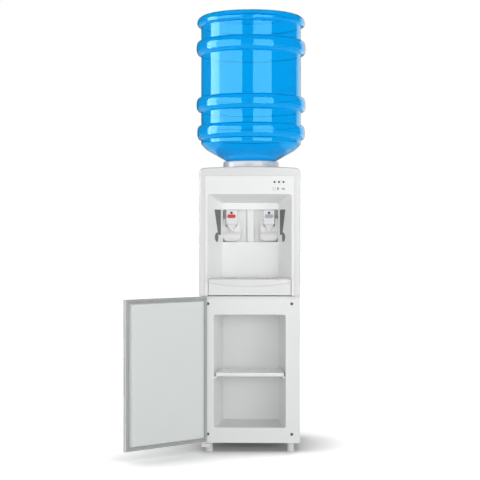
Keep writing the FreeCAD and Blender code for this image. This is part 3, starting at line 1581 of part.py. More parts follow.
def water_pipes():
    start = niche_y - s.seat_gap + s.shank_length + s.seat_gap
    tank_side = s.tank_back - s.tank_radius * 0.72
    cold = [at(tap_side, start, tap_axis), at(tap_side, tank_side, tap_axis)]
    radius = float(s.pipe_radius)
    wall = float(s.pipe_wall)
    set_shape("cold_pipe", hollow_tube(cold, radius, radius, wall))
    bend = 2 * radius
    x, over = -tap_side, -s.hot_radius / 2
    drop_y, over_y = start + 2.5 * s.pipe_radius, s.tank_back - s.hot_radius / 2
    low = hot_high + s.tank_space / 2
    points = [
        at(x, start, tap_axis),
        at(x, drop_y, tap_axis),
        at(x, drop_y, low),
        at(over, over_y, low),
        at(over, over_y, hot_high + s.seat_gap),
    ]
    set_shape("hot_pipe", hollow_tube(points, bend, radius, wall))


def compressor():
    body = new_body("compressor")
    low = base_top + s.mount_height + 2 * s.seat_gap
    zero = sized(0.0)
    corners = [
        (zero, low),
        (s.pump_radius, low),
        (s.pump_radius, low + s.pump_height - 12),
        (s.pump_radius - 16, low + s.pump_height),
        (zero, low + s.pump_height),
    ]
    spun(body, loop(new_sketch(body, "XZ_Plane", s.pump_back), corners))
    reach = s.pump_radius + s.mount_radius - 0.5
    spread = s.mount_spread + s.mount_radius + 1.5
    block(body, (-reach, reach), (s.pump_back - spread, s.pump_back + spread), (low, low + 2.5))
    knee = low + s.pump_height - 12
    rounded(body, 8.0, lambda box: near(box.ZMin, knee) and near(box.ZMax, knee) and box.XLength > 10)


def compressor_mounts():
    mounts = []
    sizes = {"Radius": s.mount_radius, "Height": s.mount_height}
    for side in SIDES.values():
        for end in (-1, 1):
            x = side * (s.pump_radius - s.mount_inset)
            y = s.pump_back + end * s.mount_spread
            mounts.append(primitive("Cylinder", "mount", sizes, (x, y, base_top + s.seat_gap)))
    gathered("compressor_mounts", mounts)


def refrigerant_pipes():
    radius = float(s.coil_tube)
    top = base_top + s.mount_height + 3 * s.seat_gap + s.pump_height
    inside = back_y - s.sheet_wall - 14
    through = back_y - s.sheet_wall - 6
    tank_middle = (tank_low + tank_high) / 2
    rising = [
        at(0, s.pump_back, top),
        at(0, s.pump_back, top + s.riser_height),
        at(0, inside, top + s.riser_height),
        at(0, inside, coil_low),
        at(-coil_half, inside, coil_low),
        at(-coil_half, through, coil_low),
    ]
    reach = s.tank_radius + s.tank_foam + s.seat_gap
    gap = at(-coil_half, inside, 0) - at(0, s.tank_back, 0)
    meeting = at(0, s.tank_back, tank_middle) + gap.normalize() * float(reach)
    falling = [
        at(-coil_half, through, coil_high),
        at(-coil_half, inside, coil_high),
        at(-coil_half, inside, tank_middle),
        meeting,
    ]
    bend = 2.8 * radius
    pipes = [tube(rising, bend, radius), tube(falling, bend, radius)]
    set_shape("refrigerant_pipes", Part.makeCompound(pipes))


def condenser():
    """A tube that runs to and fro behind the back panel, with upright wires along it."""
    radius = float(s.coil_tube)
    side = coil_half + 12
    inside = back_y - s.sheet_wall - 6 + s.seat_gap
    points = [at(-coil_half, inside, coil_low), at(-coil_half, coil_y, coil_low)]
    runs = int(float(s.coil_runs))
    for run in range(runs):
        height = coil_low + run * s.coil_pitch
        first, last = (-side, side) if run % 2 == 0 else (side, -side)
        if run > 0:
            points.append(at(first, coil_y, height))
        points.append(at(last, coil_y, height))
    points[-1] = at(-coil_half, coil_y, coil_high)
    points.append(at(-coil_half, inside, coil_high))
    solids = [tube(points, 12.0, radius)]
    wires = int(float(s.coil_wires))
    wire_y = coil_y + s.coil_tube + s.coil_wire + 0.05
    for i in range(wires):
        x = -float(coil_half) + 8 + i * (2 * float(coil_half) - 16) / (wires - 1)
        length = float(coil_high - coil_low) + 24
        solids.append(Part.makeCylinder(float(s.coil_wire), length, at(x, wire_y, coil_low - 12)))
    set_shape("condenser", Part.makeCompound(solids))


def condenser_clips():
    clips = []
    thick = s.coil_gap - s.coil_tube - 2 * s.seat_gap
    sizes = {"Length": s.clip_width, "Width": thick, "Height": s.clip_height}
    for side in SIDES.values():
        for run in (1, s.coil_runs - 2):
            x = side * s.clip_side - s.clip_width / 2
            z = coil_low + run * s.coil_pitch - s.clip_height / 2
            clips.append(primitive("Box", "clip", sizes, (x, back_y + s.seat_gap, z)))
    gathered("condenser_clips", clips)


# ---------------------------------------------------------------------------------------------
# On the back
# ---------------------------------------------------------------------------------------------

def mains_inlet():
    """A mains socket with three blades in a recess."""
    body = new_body("mains_inlet")
    x, z = s.inlet_side, inlet_height
    outside = back_y + s.seat_gap
    block(body, (x - 13.7, x + 13.7), (back_y - 20, outside + 1), (z - 10.7, z + 10.7))
    block(body, (x - 18, x + 18), (outside, outside + 2.5), (z - 13, z + 13))
    block(body, (x - 12, x + 12), (outside + 2.5 - 16, outside + 2.5), (z - 8.25, z + 8.25), "Pocket")
    for across_by, up_by in ((-7.0, -2.0), (0.0, 2.0), (7.0, -2.0)):
        blade_x, blade_z = x + across_by, z + up_by
        block(body, (blade_x - 1, blade_x + 1), (outside - 14, outside + 1), (blade_z - 2, blade_z + 2))


def switch_bezel():
    body = new_body("switch_bezel")
    x, z = -s.switch_side, switch_height
    outside = back_y + s.seat_gap
    block(body, (x - 30.7, x + 30.7), (back_y - 17, outside + 1), (z - 12.2, z + 12.2))
    block(body, (x - 34, x + 34), (outside, outside + 2), (z - 15, z + 15))
    for side in TAPS.values():
        middle = x + side * s.switch_pitch / 2
        block(body, (middle - 11, middle + 11), (back_y - 15, outside + 2), (z - 10.6, z + 10.6), "Pocket")
        trunnion = circle(new_sketch(body, "YZ_Plane", middle - 12.8), rocker_y, z, 1.5 + s.pin_play)
        pocket(body, trunnion, 25.6)


def turned_about(piece, place, axis, degrees):
    """Turn a finished piece about a line through place."""
    turn = FreeCAD.Rotation(Vector(*axis), float(degrees))
    piece.Placement = FreeCAD.Placement(place - turn.multVec(place), turn)


def switch(name, side):
    """A rocker with a hollow face, tilted to its off position."""
    body = new_body(name)
    middle = -s.switch_side + side * s.switch_pitch / 2
    z = switch_height
    face = back_y + 3.5
    corners = [
        (rocker_y - 3, z - 4),
        (rocker_y - 3, z + 4),
        (rocker_y + 2, z + 9),
        (face, z + 9),
        (face - 2, z),
        (face, z - 9),
        (rocker_y + 2, z - 9),
    ]
    pad(body, loop(new_sketch(body, "YZ_Plane", middle - 10.7), corners), 21.4)
    trunnion = circle(new_sketch(body, "YZ_Plane", middle - 12.6), rocker_y, z, 1.5)
    pad(body, trunnion, 25.2)
    turned_about(body, at(0, rocker_y, z), (1, 0, 0), -ROCKER_TILT)


def drain_stubs():
    stubs = []
    for side in TAPS.values():
        parts = []
        for radius, start, length in (
            (s.drain_radius, back_y - 26, 38.0),
            (s.drain_radius + 4, back_y - s.sheet_wall - s.seat_gap - 4, 4.0),
        ):
            place = (side * s.drain_side, start, drain_height)
            rod = primitive("Cylinder", "rod", {"Radius": radius, "Height": length}, place)
            parts.append(turned(rod, (1, 0, 0), -90))
        place = (side * s.drain_side, back_y - 26, drain_height)
        bore = primitive("Cylinder", "bore", {"Radius": s.drain_radius - 2.5, "Height": 38.0}, place)
        turned(bore, (1, 0, 0), -90)
        stubs.append(cut("stub", fused("stub_outside", parts), bore))
    gathered("drain_stubs", stubs)


def drain_cap(name, side):
    place = (side * s.drain_side, back_y + 1.5, drain_height)
    outside = primitive("Cylinder", "outside", {"Radius": s.cap_radius, "Height": 14.0}, place)
    bore = primitive("Cylinder", "bore", {"Radius": s.drain_radius + s.pin_play, "Height": 11.0}, place)
    for solid in (outside, bore):
        turned(solid, (1, 0, 0), -90)
    finished(name, cut(name, outside, bore))


# ---------------------------------------------------------------------------------------------
# Build, check and write
# ---------------------------------------------------------------------------------------------

DOOR_PIECES = ("door_outer", "door_inner", "door_foam", "door_gasket", "door_bushes")


def build_all():
    for side_name, side in SIDES.items():
        side_panel(f"side_panel_{side_name}", side)
    back_panel()
    base_plate()
    feet()
    mid_deck()
    top_cover()
    bottle_collar()
    water_seat()
    fascia_frame()
    front_panel()
    slot_inlays()
    led_lenses()
    control_board()
    for tap_name, side in TAPS.items():
        tap_body(f"{tap_name}_tap_body", side)
        tap_label(f"{tap_name}_tap_label", side)
        paddle(f"{tap_name}_paddle", side)
        switch(f"{tap_name}_switch", side)
        drain_cap(f"{tap_name}_drain_cap", side)
    tap_studs()
    tap_pins()
    tap_nuts()
    drip_tray()
    drip_grille()
    cabinet_liner()
    liner_plugs()
    cabinet_foam()
    shelf()
    upper_hinge()
    lower_hinge()
    door_outer()
    door_foam()
    door_inner()
    door_gasket()
    door_bushes()
    bottle()
    bottle_cap()
    cold_tank()
    cold_tank_foam()
    tank_bridge()
    hot_tank()
    fill_pipe()
    water_pipes()
    compressor()
    compressor_mounts()
    refrigerant_pipes()
    condenser()
    condenser_clips()
    mains_inlet()
    switch_bezel()
    drain_stubs()
    for name in DOOR_PIECES:
        turned_about(pieces[name], at(pivot_x, pivot_y, 0), (0, 0, 1), -s.door_angle)


def check_all():
    """Stop before writing if any object failed or any piece has no sound shape."""
    for item in doc.Objects:
        if "Invalid" in item.State or "Error" in item.State:
            raise ValueError(f"{item.Label} ({item.Name}) did not build: {item.State}")
    for name, piece in pieces.items():
        if piece.Shape.isNull() or not piece.Shape.isValid():
            raise ValueError(f"{name} has no valid shape")


build_all()
doc.recompute()
check_all()
os.makedirs("parts", exist_ok=True)
for name, piece in pieces.items():
    piece.Shape.exportStep(os.path.join("parts", f"{name}.step"))
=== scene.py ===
"""Top-load water cooler: finishes, fine pieces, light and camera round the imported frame.

Metres. +Z is up and the front faces -Y, as in the frame.
"""

import math

import bmesh
import bpy
from mathutils import Matrix, Vector


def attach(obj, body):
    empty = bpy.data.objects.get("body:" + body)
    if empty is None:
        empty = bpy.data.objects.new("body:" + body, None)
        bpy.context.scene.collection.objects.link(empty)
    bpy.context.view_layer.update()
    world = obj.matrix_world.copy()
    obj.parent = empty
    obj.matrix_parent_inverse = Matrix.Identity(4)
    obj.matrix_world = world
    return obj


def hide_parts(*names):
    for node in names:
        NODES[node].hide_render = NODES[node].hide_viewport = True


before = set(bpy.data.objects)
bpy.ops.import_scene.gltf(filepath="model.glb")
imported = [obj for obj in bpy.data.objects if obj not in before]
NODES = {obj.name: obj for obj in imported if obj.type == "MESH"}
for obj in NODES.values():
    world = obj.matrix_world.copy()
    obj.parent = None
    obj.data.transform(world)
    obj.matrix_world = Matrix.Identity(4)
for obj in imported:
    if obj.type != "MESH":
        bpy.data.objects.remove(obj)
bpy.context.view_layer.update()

bl_info = {
    "name": "Water Cooler",
    "version": (1, 0, 0),
    "blender": (4, 5, 0),
    "location": "View3D > Sidebar > Water Cooler",
    "description": "Dresses the packed water cooler with finishes and fine pieces, and sets its stage",
    "category": "Object",
}

# Places in the frame that the fine pieces and the stage follow
BOTTLE_AXIS = Vector((0.0, 0.012, 0.0))
DOOR_PIVOT = Vector((-0.1295, -0.142, 0.0))
DOOR_OPEN = math.radians(-138.0)
DOOR_INSIDE = -0.135
PANEL_FRONT = -0.1488
BODY_FRONT = -0.150
BACK_FACE = 0.175


# ---------------------------------------------------------------------------------------------
# Sizes and colours that a user may change
# ---------------------------------------------------------------------------------------------

def length(name, description, default):
    return bpy.props.FloatProperty(
        name=name,
        description=description,
        default=default,
        min=0.0,
        subtype="DISTANCE",
        unit="LENGTH",
        precision=4,
    )


def colour(name, description, default):
    return bpy.props.FloatVectorProperty(
        name=name,
        description=description,
        default=default,
        min=0.0,
        max=1.0,
        size=3,
        subtype="COLOR",
    )


def number(name, description, default, highest=1.0):
    return bpy.props.FloatProperty(
        name=name, description=description, default=default, min=0.0, max=highest
    )


class CoolerColours(bpy.types.PropertyGroup):
    """Base colours of the finishes."""

    case: colour("Case", "Painted steel of the sides and back", (0.83, 0.84, 0.84))
    fascia: colour("Fascia", "Glossy moulded front frame and top", (0.82, 0.825, 0.825))
    panel: colour("Front panel", "Moulded panel round the recess", (0.88, 0.885, 0.885))
    liner: colour("Cabinet liner", "Vacuum-formed inside of the cabinet", (0.85, 0.86, 0.855))
    # Painted shade: the door's tone is set darker than the case's, so the open door's inside and free
    # edge look shaded.
    door: colour("Door", "Inside and outside of the door", (0.78, 0.81, 0.80))
    shelf: colour("Shelf", "Shelf and drip grille", (0.92, 0.92, 0.92))
    bottle: colour("Bottle", "Tint of the bottle's plastic", (0.010, 0.625, 0.99))
    hot: colour("Hot label", "Label of the hot tap", (0.70, 0.07, 0.09))
    cold: colour("Cold label", "Label of the cold tap", (0.42, 0.46, 0.50))
    foot: colour("Feet", "Moulded feet", (0.74, 0.74, 0.75))
    rubber: colour("Rubber", "Mounts under the compressor", (0.16, 0.165, 0.17))
    gasket: colour("Gasket", "Seal round the door's inside", (0.44, 0.455, 0.455))
    # Painted shade: the slot inlay's dark grey stands in for the shade deep in the side slots.
    inlay: colour("Slot inlay", "Dark plate behind the side slots", (0.17, 0.18, 0.18))
    sign: colour("Signs", "Small signs under the indicators", (0.10, 0.10, 0.11))
    dark: colour("Dark plastic", "Sockets, studs, bushes, clips and caps", (0.035, 0.035, 0.04))
    foam: colour("Foam", "Insulation behind the mouldings", (0.66, 0.58, 0.38))


class CoolerSurface(bpy.types.PropertyGroup):
    """How smooth the finishes are, and how coarse their texture is."""

    gloss: number("Gloss roughness", "Roughness of the glossy mouldings", 0.24)
    satin: number("Satin roughness", "Roughness of the satin mouldings", 0.40)
    steel: number("Painted steel roughness", "Roughness of the painted sheets", 0.33)
    peel: length("Peel", "Size of the ripples in the paint", 0.0022)
    grain: length("Grain", "Size of the fine grain in the mouldings", 0.0006)


class CoolerSizes(bpy.types.PropertyGroup):
    """Sizes of the pieces made here."""

    ring_fullness: number("Ring fullness", "How square the bottle's rings are; 2 is round", 2.5, 8.0)
    ring_hollow: length("Ring hollow", "Rounding between a ring and the wall beside it", 0.004)
    bottle_wall: length("Bottle wall", "Thickness of the bottle's plastic", 0.0018)
    sign_radius: length("Sign radius", "Round sign under the first indicator", 0.0046)
    sign_line: length("Sign line", "Line of the round sign", 0.0010)
    screw_radius: length("Screw radius", "Heads of the screws on the back", 0.0038)


class CoolerStage(bpy.types.PropertyGroup):
    """Camera, light and floor."""

    camera_height: length("Camera height", "Height of the camera over the floor", 0.624)
    camera_side: length("Camera side", "How far the camera stands to the right", 0.095)
    camera_distance: length("Camera distance", "Camera to the front of the body", 3.68)
    focal: number("Focal length", "Focal length in millimetres on a 36 mm sensor", 99.6, 300.0)
    ambient: number("Ambient light", "Strength of the even light from all round", 0.15, 10.0)
    front: number("Front softbox", "Watts of the wide softbox behind the camera", 86.0, 1000.0)
    left: number("Left softbox", "Watts of the softbox on the left", 7.0, 1000.0)
    right: number("Right softbox", "Watts of the softbox on the right", 22.0, 1000.0)
    top: number("Top softbox", "Watts of the softbox overhead", 4.0, 1000.0)
    back: number("Back softbox", "Watts of the softbox behind the cooler", 36.0, 1000.0)
    card: number("Reflection cards", "Brightness of the cards that reflections show", 4.5, 100.0)


def colours():
    return bpy.context.scene.cooler_colours


def surface():
    return bpy.context.scene.cooler_surface


def sizes():
    return bpy.context.scene.cooler_sizes


# ---------------------------------------------------------------------------------------------
# Shader nodes
# ---------------------------------------------------------------------------------------------

COLOUR_SOCKET = "NodeSocketColor"
NUMBER_SOCKET = "NodeSocketFloat"
NOISE_LOW = 0.3
NOISE_HIGH = 0.7


def put(tree, socket, value):
    """Set a socket to a plain number, or link it to another socket."""
    if isinstance(value, (int, float)):
        socket.default_value = value
    else:
        tree.links.new(value, socket)


def noise(tree, vector, scale, detail=2.0, roughness=0.5):
    node = tree.nodes.new("ShaderNodeTexNoise")
    node.inputs["Detail"].default_value = detail
    node.inputs["Roughness"].default_value = roughness
    tree.links.new(vector, node.inputs["Vector"])
    put(tree, node.inputs["Scale"], scale)
    return node.outputs["Fac"]


def math_node(tree, operation, first, second):
    node = tree.nodes.new("ShaderNodeMath")
    node.operation = operation
    put(tree, node.inputs[0], first)
    put(tree, node.inputs[1], second)
    return node.outputs[0]


def remap(tree, value, low_in, high_in, low_out, high_out):
    node = tree.nodes.new("ShaderNodeMapRange")
    node.inputs["From Min"].default_value = low_in
    node.inputs["From Max"].default_value = high_in
    put(tree, node.inputs["To Min"], low_out)
    put(tree, node.inputs["To Max"], high_out)
    tree.links.new(value, node.inputs["Value"])
    return node.outputs["Result"]


def noise_between(tree, value, low_out, high_out):
    """A noise's usual range, stretched from low_out to high_out."""
    return remap(tree, value, NOISE_LOW, NOISE_HIGH, low_out, high_out)


def scaled_colour(tree, base, factor):
    """The base colour times a factor that changes over the surface."""
    node = tree.nodes.new("ShaderNodeVectorMath")
    node.operation = "SCALE"
    tree.links.new(base, node.inputs[0])
    tree.links.new(factor, node.inputs["Scale"])
    return node.outputs["Vector"]


def object_place(tree, along=1.0):
    """The object's own coordinates. Below 1, along draws a texture out in Z."""
    place = tree.nodes.new("ShaderNodeTexCoord").outputs["Object"]
    if along == 1.0:
        return place
    stretch = tree.nodes.new("ShaderNodeMapping")
    stretch.inputs["Scale"].default_value = (1.0, 1.0, along)
    tree.links.new(place, stretch.inputs["Vector"])
    return stretch.outputs["Vector"]


def add_bump(tree, shader, height, strength, depth):
    node = tree.nodes.new("ShaderNodeBump")
    node.inputs["Strength"].default_value = strength
    node.inputs["Distance"].default_value = depth
    tree.links.new(height, node.inputs["Height"])
    tree.links.new(node.outputs["Normal"], shader.inputs["Normal"])


# ---------------------------------------------------------------------------------------------
# Node groups that several materials share
# ---------------------------------------------------------------------------------------------

def new_group(name, inputs):
    """A shader group that takes inputs of (name, kind, default) and puts out a finish."""
    group = bpy.data.node_groups.new(name, "ShaderNodeTree")
    for label, kind, default in inputs:
        socket = group.interface.new_socket(name=label, in_out="INPUT", socket_type=kind)
        socket.default_value = default
    for label, kind in (
        ("Color", COLOUR_SOCKET),
        ("Roughness", NUMBER_SOCKET),
        ("Height", NUMBER_SOCKET),
    ):
        group.interface.new_socket(name=label, in_out="OUTPUT", socket_type=kind)
    return group, group.nodes.new("NodeGroupInput").outputs


def put_out(group, entry, shade, gloss_change, height):
    """End a group: the colour times shade, the roughness plus gloss_change, and the height."""
    leave = group.nodes.new("NodeGroupOutput").inputs
    group.links.new(scaled_colour(group, entry["Color"], shade), leave["Color"])
    group.links.new(math_node(group, "ADD", entry["Roughness"], gloss_change), leave["Roughness"])
    group.links.new(height, leave["Height"])
    return group


def moulded_skin():
    """Moulded plastic: faint cloudiness, a slow change of gloss and a fine grain."""
    name = "Moulded Skin"
    if name in bpy.data.node_groups:
        return bpy.data.node_groups[name]
    group, entry = new_group(
        name,
        [
            ("Color", COLOUR_SOCKET, (0.8, 0.8, 0.8, 1.0)),
            ("Cloud", NUMBER_SOCKET, 0.02),
            ("Roughness", NUMBER_SOCKET, 0.4),
            ("Gloss Change", NUMBER_SOCKET, 0.06),
            ("Grain Scale", NUMBER_SOCKET, 1600.0),
        ],
    )
    place = object_place(group)
    clouds = noise(group, place, scale=9.0, detail=3.0)
    grain = noise(group, place, scale=entry["Grain Scale"], roughness=0.6)
    smears = noise(group, place, scale=38.0, detail=4.0, roughness=0.62)
    darkest = math_node(group, "SUBTRACT", 1.0, entry["Cloud"])
    shade = noise_between(group, clouds, darkest, 1.0)
    either_way = math_node(group, "SUBTRACT", smears, 0.5)
    gloss_change = math_node(group, "MULTIPLY", either_way, entry["Gloss Change"])
    return put_out(group, entry, shade, gloss_change, grain)


def paint_peel():
    """Sprayed paint: soft ripples with a few specks."""
    name = "Paint Peel"
    if name in bpy.data.node_groups:
        return bpy.data.node_groups[name]
    group, entry = new_group(
        name,
        [
            ("Color", COLOUR_SOCKET, (0.8, 0.8, 0.8, 1.0)),
            ("Peel Scale", NUMBER_SOCKET, 450.0),
            ("Roughness", NUMBER_SOCKET, 0.35),
        ],
    )
    place = object_place(group)
    ripples = noise(group, place, scale=entry["Peel Scale"], detail=1.0)
    clouds = noise(group, place, scale=5.0)
    cells = group.nodes.new("ShaderNodeTexVoronoi")
    cells.inputs["Scale"].default_value = 260.0
    group.links.new(place, cells.inputs["Vector"])
    specks = remap(group, cells.outputs["Distance"], 0.0, 0.05, 0.93, 1.0)
    shade = math_node(group, "MULTIPLY", specks, noise_between(group, clouds, 0.975, 1.0))
    return put_out(group, entry, shade, noise_between(group, clouds, -0.03, 0.03), ripples)


def brushed_lines():
    """Metal drawn along Z: long fine scratches."""
    name = "Brushed Lines"
    if name in bpy.data.node_groups:
        return bpy.data.node_groups[name]
    group, entry = new_group(
        name,
        [
            ("Color", COLOUR_SOCKET, (0.6, 0.6, 0.6, 1.0)),
            ("Roughness", NUMBER_SOCKET, 0.3),
        ],
    )
    place = object_place(group, along=0.02)
    scratches = noise(group, place, scale=1400.0, detail=3.0, roughness=0.7)
    shade = noise_between(group, scratches, 0.86, 1.0)
    return put_out(group, entry, shade, noise_between(group, scratches, -0.06, 0.06), scratches)


# ---------------------------------------------------------------------------------------------
# Materials
# ---------------------------------------------------------------------------------------------

PLASTIC_IOR = 1.5
BOTTLE_IOR = 1.47
GLOSS_CHANGE = 0.05
GRAIN_DEPTH = 0.0002
PEEL_DEPTH = 0.0004
SCRATCH_DEPTH = 0.0001
WAVE_DEPTH = 0.004


def new_material(name):
    material = bpy.data.materials.new(name)
    material.use_nodes = True
    tree = material.node_tree
    return material, tree, tree.nodes["Principled BSDF"]


def textured(name, group, values, bump, depth, plain):
    """A material whose colour, roughness and bump come from a shared group.

    values go into the group. plain holds the shader's own values, the same all over.
    """
    if name in bpy.data.materials:
        return bpy.data.materials[name]
    material, tree, shader = new_material(name)
    skin = tree.nodes.new("ShaderNodeGroup")
    skin.node_tree = group
    for label, value in values.items():
        skin.inputs[label].default_value = value
    tree.links.new(skin.outputs["Color"], shader.inputs["Base Color"])
    tree.links.new(skin.outputs["Roughness"], shader.inputs["Roughness"])
    if bump:
        add_bump(tree, shader, skin.outputs["Height"], bump, depth)
    for label, value in plain.items():
        shader.inputs[label].default_value = value
    return material


def moulding(name, base, roughness, bump=0.12, cloud=0.015, coat=0.0):
    values = {
        "Color": (*base, 1.0),
        "Cloud": cloud,
        "Roughness": roughness,
        "Gloss Change": GLOSS_CHANGE,
        "Grain Scale": 1.0 / surface().grain,
    }
    plain = {"Coat Weight": coat, "Coat Roughness": 0.06, "IOR": PLASTIC_IOR}
    return textured(name, moulded_skin(), values, bump, GRAIN_DEPTH, plain)


def painted(name, base, roughness):
    values = {
        "Color": (*base, 1.0),
        "Peel Scale": 1.0 / surface().peel,
        "Roughness": roughness,
    }
    plain = {"Coat Weight": 0.25, "Coat Roughness": 0.12, "IOR": PLASTIC_IOR}
    return textured(name, paint_peel(), values, 0.10, PEEL_DEPTH, plain)


def metal(name, base, roughness):
    values = {"Color": (*base, 1.0), "Roughness": roughness}
    return textured(name, brushed_lines(), values, 0.15, SCRATCH_DEPTH, {"Metallic": 1.0})


def clear_blue():
    """The bottle's tinted plastic, clear and glossy, with slow waves from the blowing."""
    name = "Bottle Plastic"
    if name in bpy.data.materials:
        return bpy.data.materials[name]
    material, tree, shader = new_material(name)
    shader.inputs["Base Color"].default_value = (*colours().bottle, 1.0)
    shader.inputs["Transmission Weight"].default_value = 0.92
    shader.inputs["IOR"].default_value = BOTTLE_IOR
    shader.inputs["Specular IOR Level"].default_value = 1.0
    shader.inputs["Specular Tint"].default_value = (0.35, 1.0, 1.0, 1.0)
    shader.inputs["Roughness"].default_value = 0.04
    waves = noise(tree, object_place(tree, along=0.35), scale=16.0, detail=1.0)
    add_bump(tree, shader, waves, 0.10, WAVE_DEPTH)
    return material


def dress(material, *names):
    """Give CAD nodes a finish."""
    for name in names:
        mesh = NODES[name].data
        mesh.materials.clear()
        mesh.materials.append(material)


# ---------------------------------------------------------------------------------------------
# Mesh tools
# ---------------------------------------------------------------------------------------------

SHARP_ANGLE = math.radians(35.0)
NEARLY_STRAIGHT = math.radians(89.5)
LONGEST_SETBACK = 0.48
CORNER_STEPS = 6
FRAME_CORNER_STEPS = 5
TIGHTEST_FRAME_CORNER = 0.0004
ON_AXIS = 1e-6
LOBES = 4


def mesh_object(name, work, material):
    """An object from a bmesh, smooth between its sharp edges."""
    mesh = bpy.data.meshes.new(name)
    work.to_mesh(mesh)
    work.free()
    obj = bpy.data.objects.new(name, mesh)
    bpy.context.scene.collection.objects.link(obj)
    mesh.materials.append(material)
    mesh.shade_smooth()
    mesh.set_sharp_from_angle(angle=SHARP_ANGLE)
    return obj


def rounded_path(corners):
    """A polyline through corners of (x, y, rounding), as vectors with z 0."""
    places = [Vector((x, y, 0)) for x, y, rounding in corners]
    points = [places[0]]
    for last_place, here, next_place, corner in zip(places, places[1:], places[2:], corners[1:]):
        rounding = corner[2]
        to_last = last_place - here
        to_next = next_place - here
        half = to_last.angle(to_next) / 2
        if rounding <= 0.0 or half > NEARLY_STRAIGHT:
            points.append(here)
            continue
        longest = min(to_last.length, to_next.length) * LONGEST_SETBACK
        setback = min(rounding / math.tan(half), longest)
        first = here + to_last.normalized() * setback
        last = here + to_next.normalized() * setback
        for step in range(CORNER_STEPS + 1):
            t = step / CORNER_STEPS
            points.append(first * (1 - t) ** 2 + here * 2 * t * (1 - t) + last * t ** 2)
    points.append(places[-1])
    return points


def lathe(name, profile, material, segments, centre=Vector((0, 0, 0)), closed=True):
    """A profile of (radius, height) turned about a vertical axis. Radius 0 is a single point.

    (radius, height, lobe) draws the ring into four lobes. A closed profile ends where it began.
    """
    work = bmesh.new()
    rings = []
    for radius, height, *lobe in profile:
        if radius < ON_AXIS:
            rings.append([work.verts.new(centre + Vector((0, 0, height)))])
            continue
        ring = []
        for i in range(segments):
            turn = 2 * math.pi * i / segments
            reach = radius * (1 + lobe[0] * math.cos(LOBES * turn)) if lobe else radius
            place = Vector((reach * math.cos(turn), reach * math.sin(turn), height))
            ring.append(work.verts.new(centre + place))
        rings.append(ring)
    for low, high in zip(rings, rings[1:] + rings[:1] if closed else rings[1:]):
        if len(low) == 1 and len(high) == 1:
            continue
        for i in range(segments):
            j = (i + 1) % segments
            if len(low) == 1:
                work.faces.new((low[0], high[j], high[i]))
            elif len(high) == 1:
                work.faces.new((low[i], low[j], high[0]))
            else:
                work.faces.new((low[i], low[j], high[j], high[i]))
    bmesh.ops.recalc_face_normals(work, faces=work.faces)
    return mesh_object(name, work, material)


FACING = {
    "front": Matrix.Rotation(math.pi / 2, 4, "X"),
    "back": Matrix.Rotation(-math.pi / 2, 4, "X"),
}


def set_on(piece, place, facing, stretch=1.0):
    """Turn a lathed piece to face front or back, stretch it upwards and put it in its place."""
    taller = Matrix.Diagonal((1.0, 1.0, stretch, 1.0))
    piece.data.transform(Matrix.Translation(place) @ taller @ FACING[facing])
    return piece


def joined(name, parts):
    """Several objects as one, under a new name."""
    work = bmesh.new()
    for part in parts:
        work.from_mesh(part.data)
    material = parts[0].data.materials[0]
    whole = mesh_object(name, work, material)
    for part in parts:
        old = part.data
        bpy.data.objects.remove(part)
        bpy.data.meshes.remove(old)
    return whole


def swept_frame(name, half, low, high, corner, section, material):
    """A section of (distance inwards, depth) run round an upright rectangle with rounded corners."""
    work = bmesh.new()
    loops = []
    for inset, depth in section:
        radius = max(corner - inset, TIGHTEST_FRAME_CORNER)
        ring = []
        for quarter, (side, up) in enumerate(((1, 1), (-1, 1), (-1, -1), (1, -1))):
            centre_x = side * (half - inset - radius)
            centre_z = high - inset - radius if up > 0 else low + inset + radius
            for step in range(FRAME_CORNER_STEPS + 1):
                turn = math.pi / 2 * (quarter + step / FRAME_CORNER_STEPS)
                x = centre_x + radius * math.cos(turn)
                z = centre_z + radius * math.sin(turn)
                ring.append(work.verts.new((x, depth, z)))
        loops.append(ring)
    for near_loop, far_loop in zip(loops, loops[1:] + loops[:1]):
        count = len(near_loop)
        for i in range(count):
            j = (i + 1) % count
            work.faces.new((near_loop[i], near_loop[j], far_loop[j], far_loop[i]))
    bmesh.ops.recalc_face_normals(work, faces=work.faces)
    return mesh_object(name, work, material)


# ---------------------------------------------------------------------------------------------
# Bottle
# ---------------------------------------------------------------------------------------------

WALL_RADIUS = 0.144
BOTTLE_TOP = 1.2358
BOTTLE_SEGMENTS = 160
# Radius, height and rounding of each corner from the mouth to the wall
SHOULDER = [
    (0.027, 0.772, 0.0),
    (0.027, 0.801, 0.004),
    (0.061, 0.811, 0.004),
    (0.127, 0.849, 0.010),
    (WALL_RADIUS, 0.866, 0.006),
]
# The same from the base's rim to its middle, which is sunk
BASE = [
    (0.118, BOTTLE_TOP, 0.006),
    (0.108, BOTTLE_TOP - 0.006, 0.006),
    (0.0, BOTTLE_TOP - 0.009, 0.0),
]
# Low edge and radius of each ring
BOTTLE_RINGS = ((0.8775, 0.1554), (0.958, 0.1575), (1.121, 0.1575))
BASE_RING = (1.2035, 0.1554)
RING_HEIGHT = 0.042
RING_STEPS = 14
BASE_FOOT = 0.012
BASE_ROUND = 0.027


def bulge(low, high, reach, last=180.0):
    """Corners of a rounded swelling on the bottle's wall, over last degrees of its half turn."""
    middle, half = (low + high) / 2, (high - low) / 2
    power = 2 / sizes().ring_fullness
    corners = []
    for step in range(1, RING_STEPS):
        turn = math.radians(last * step / RING_STEPS)
        out = math.sin(turn) ** power
        up = math.copysign(abs(math.cos(turn)) ** power, -math.cos(turn))
        corners.append((WALL_RADIUS + (reach - WALL_RADIUS) * out, middle + half * up, 0.0))
    return corners


def base_edge(ring, middle):
    """Corners of the round edge between the lowest ring's widest line and the base."""
    corners = []
    for step in range(RING_STEPS + 1):
        turn = math.radians(90 * step / RING_STEPS)
        radius = ring - BASE_ROUND * (1 - math.cos(turn))
        corners.append((radius, middle + (BOTTLE_TOP - middle) * math.sin(turn), 0.0))
    return corners


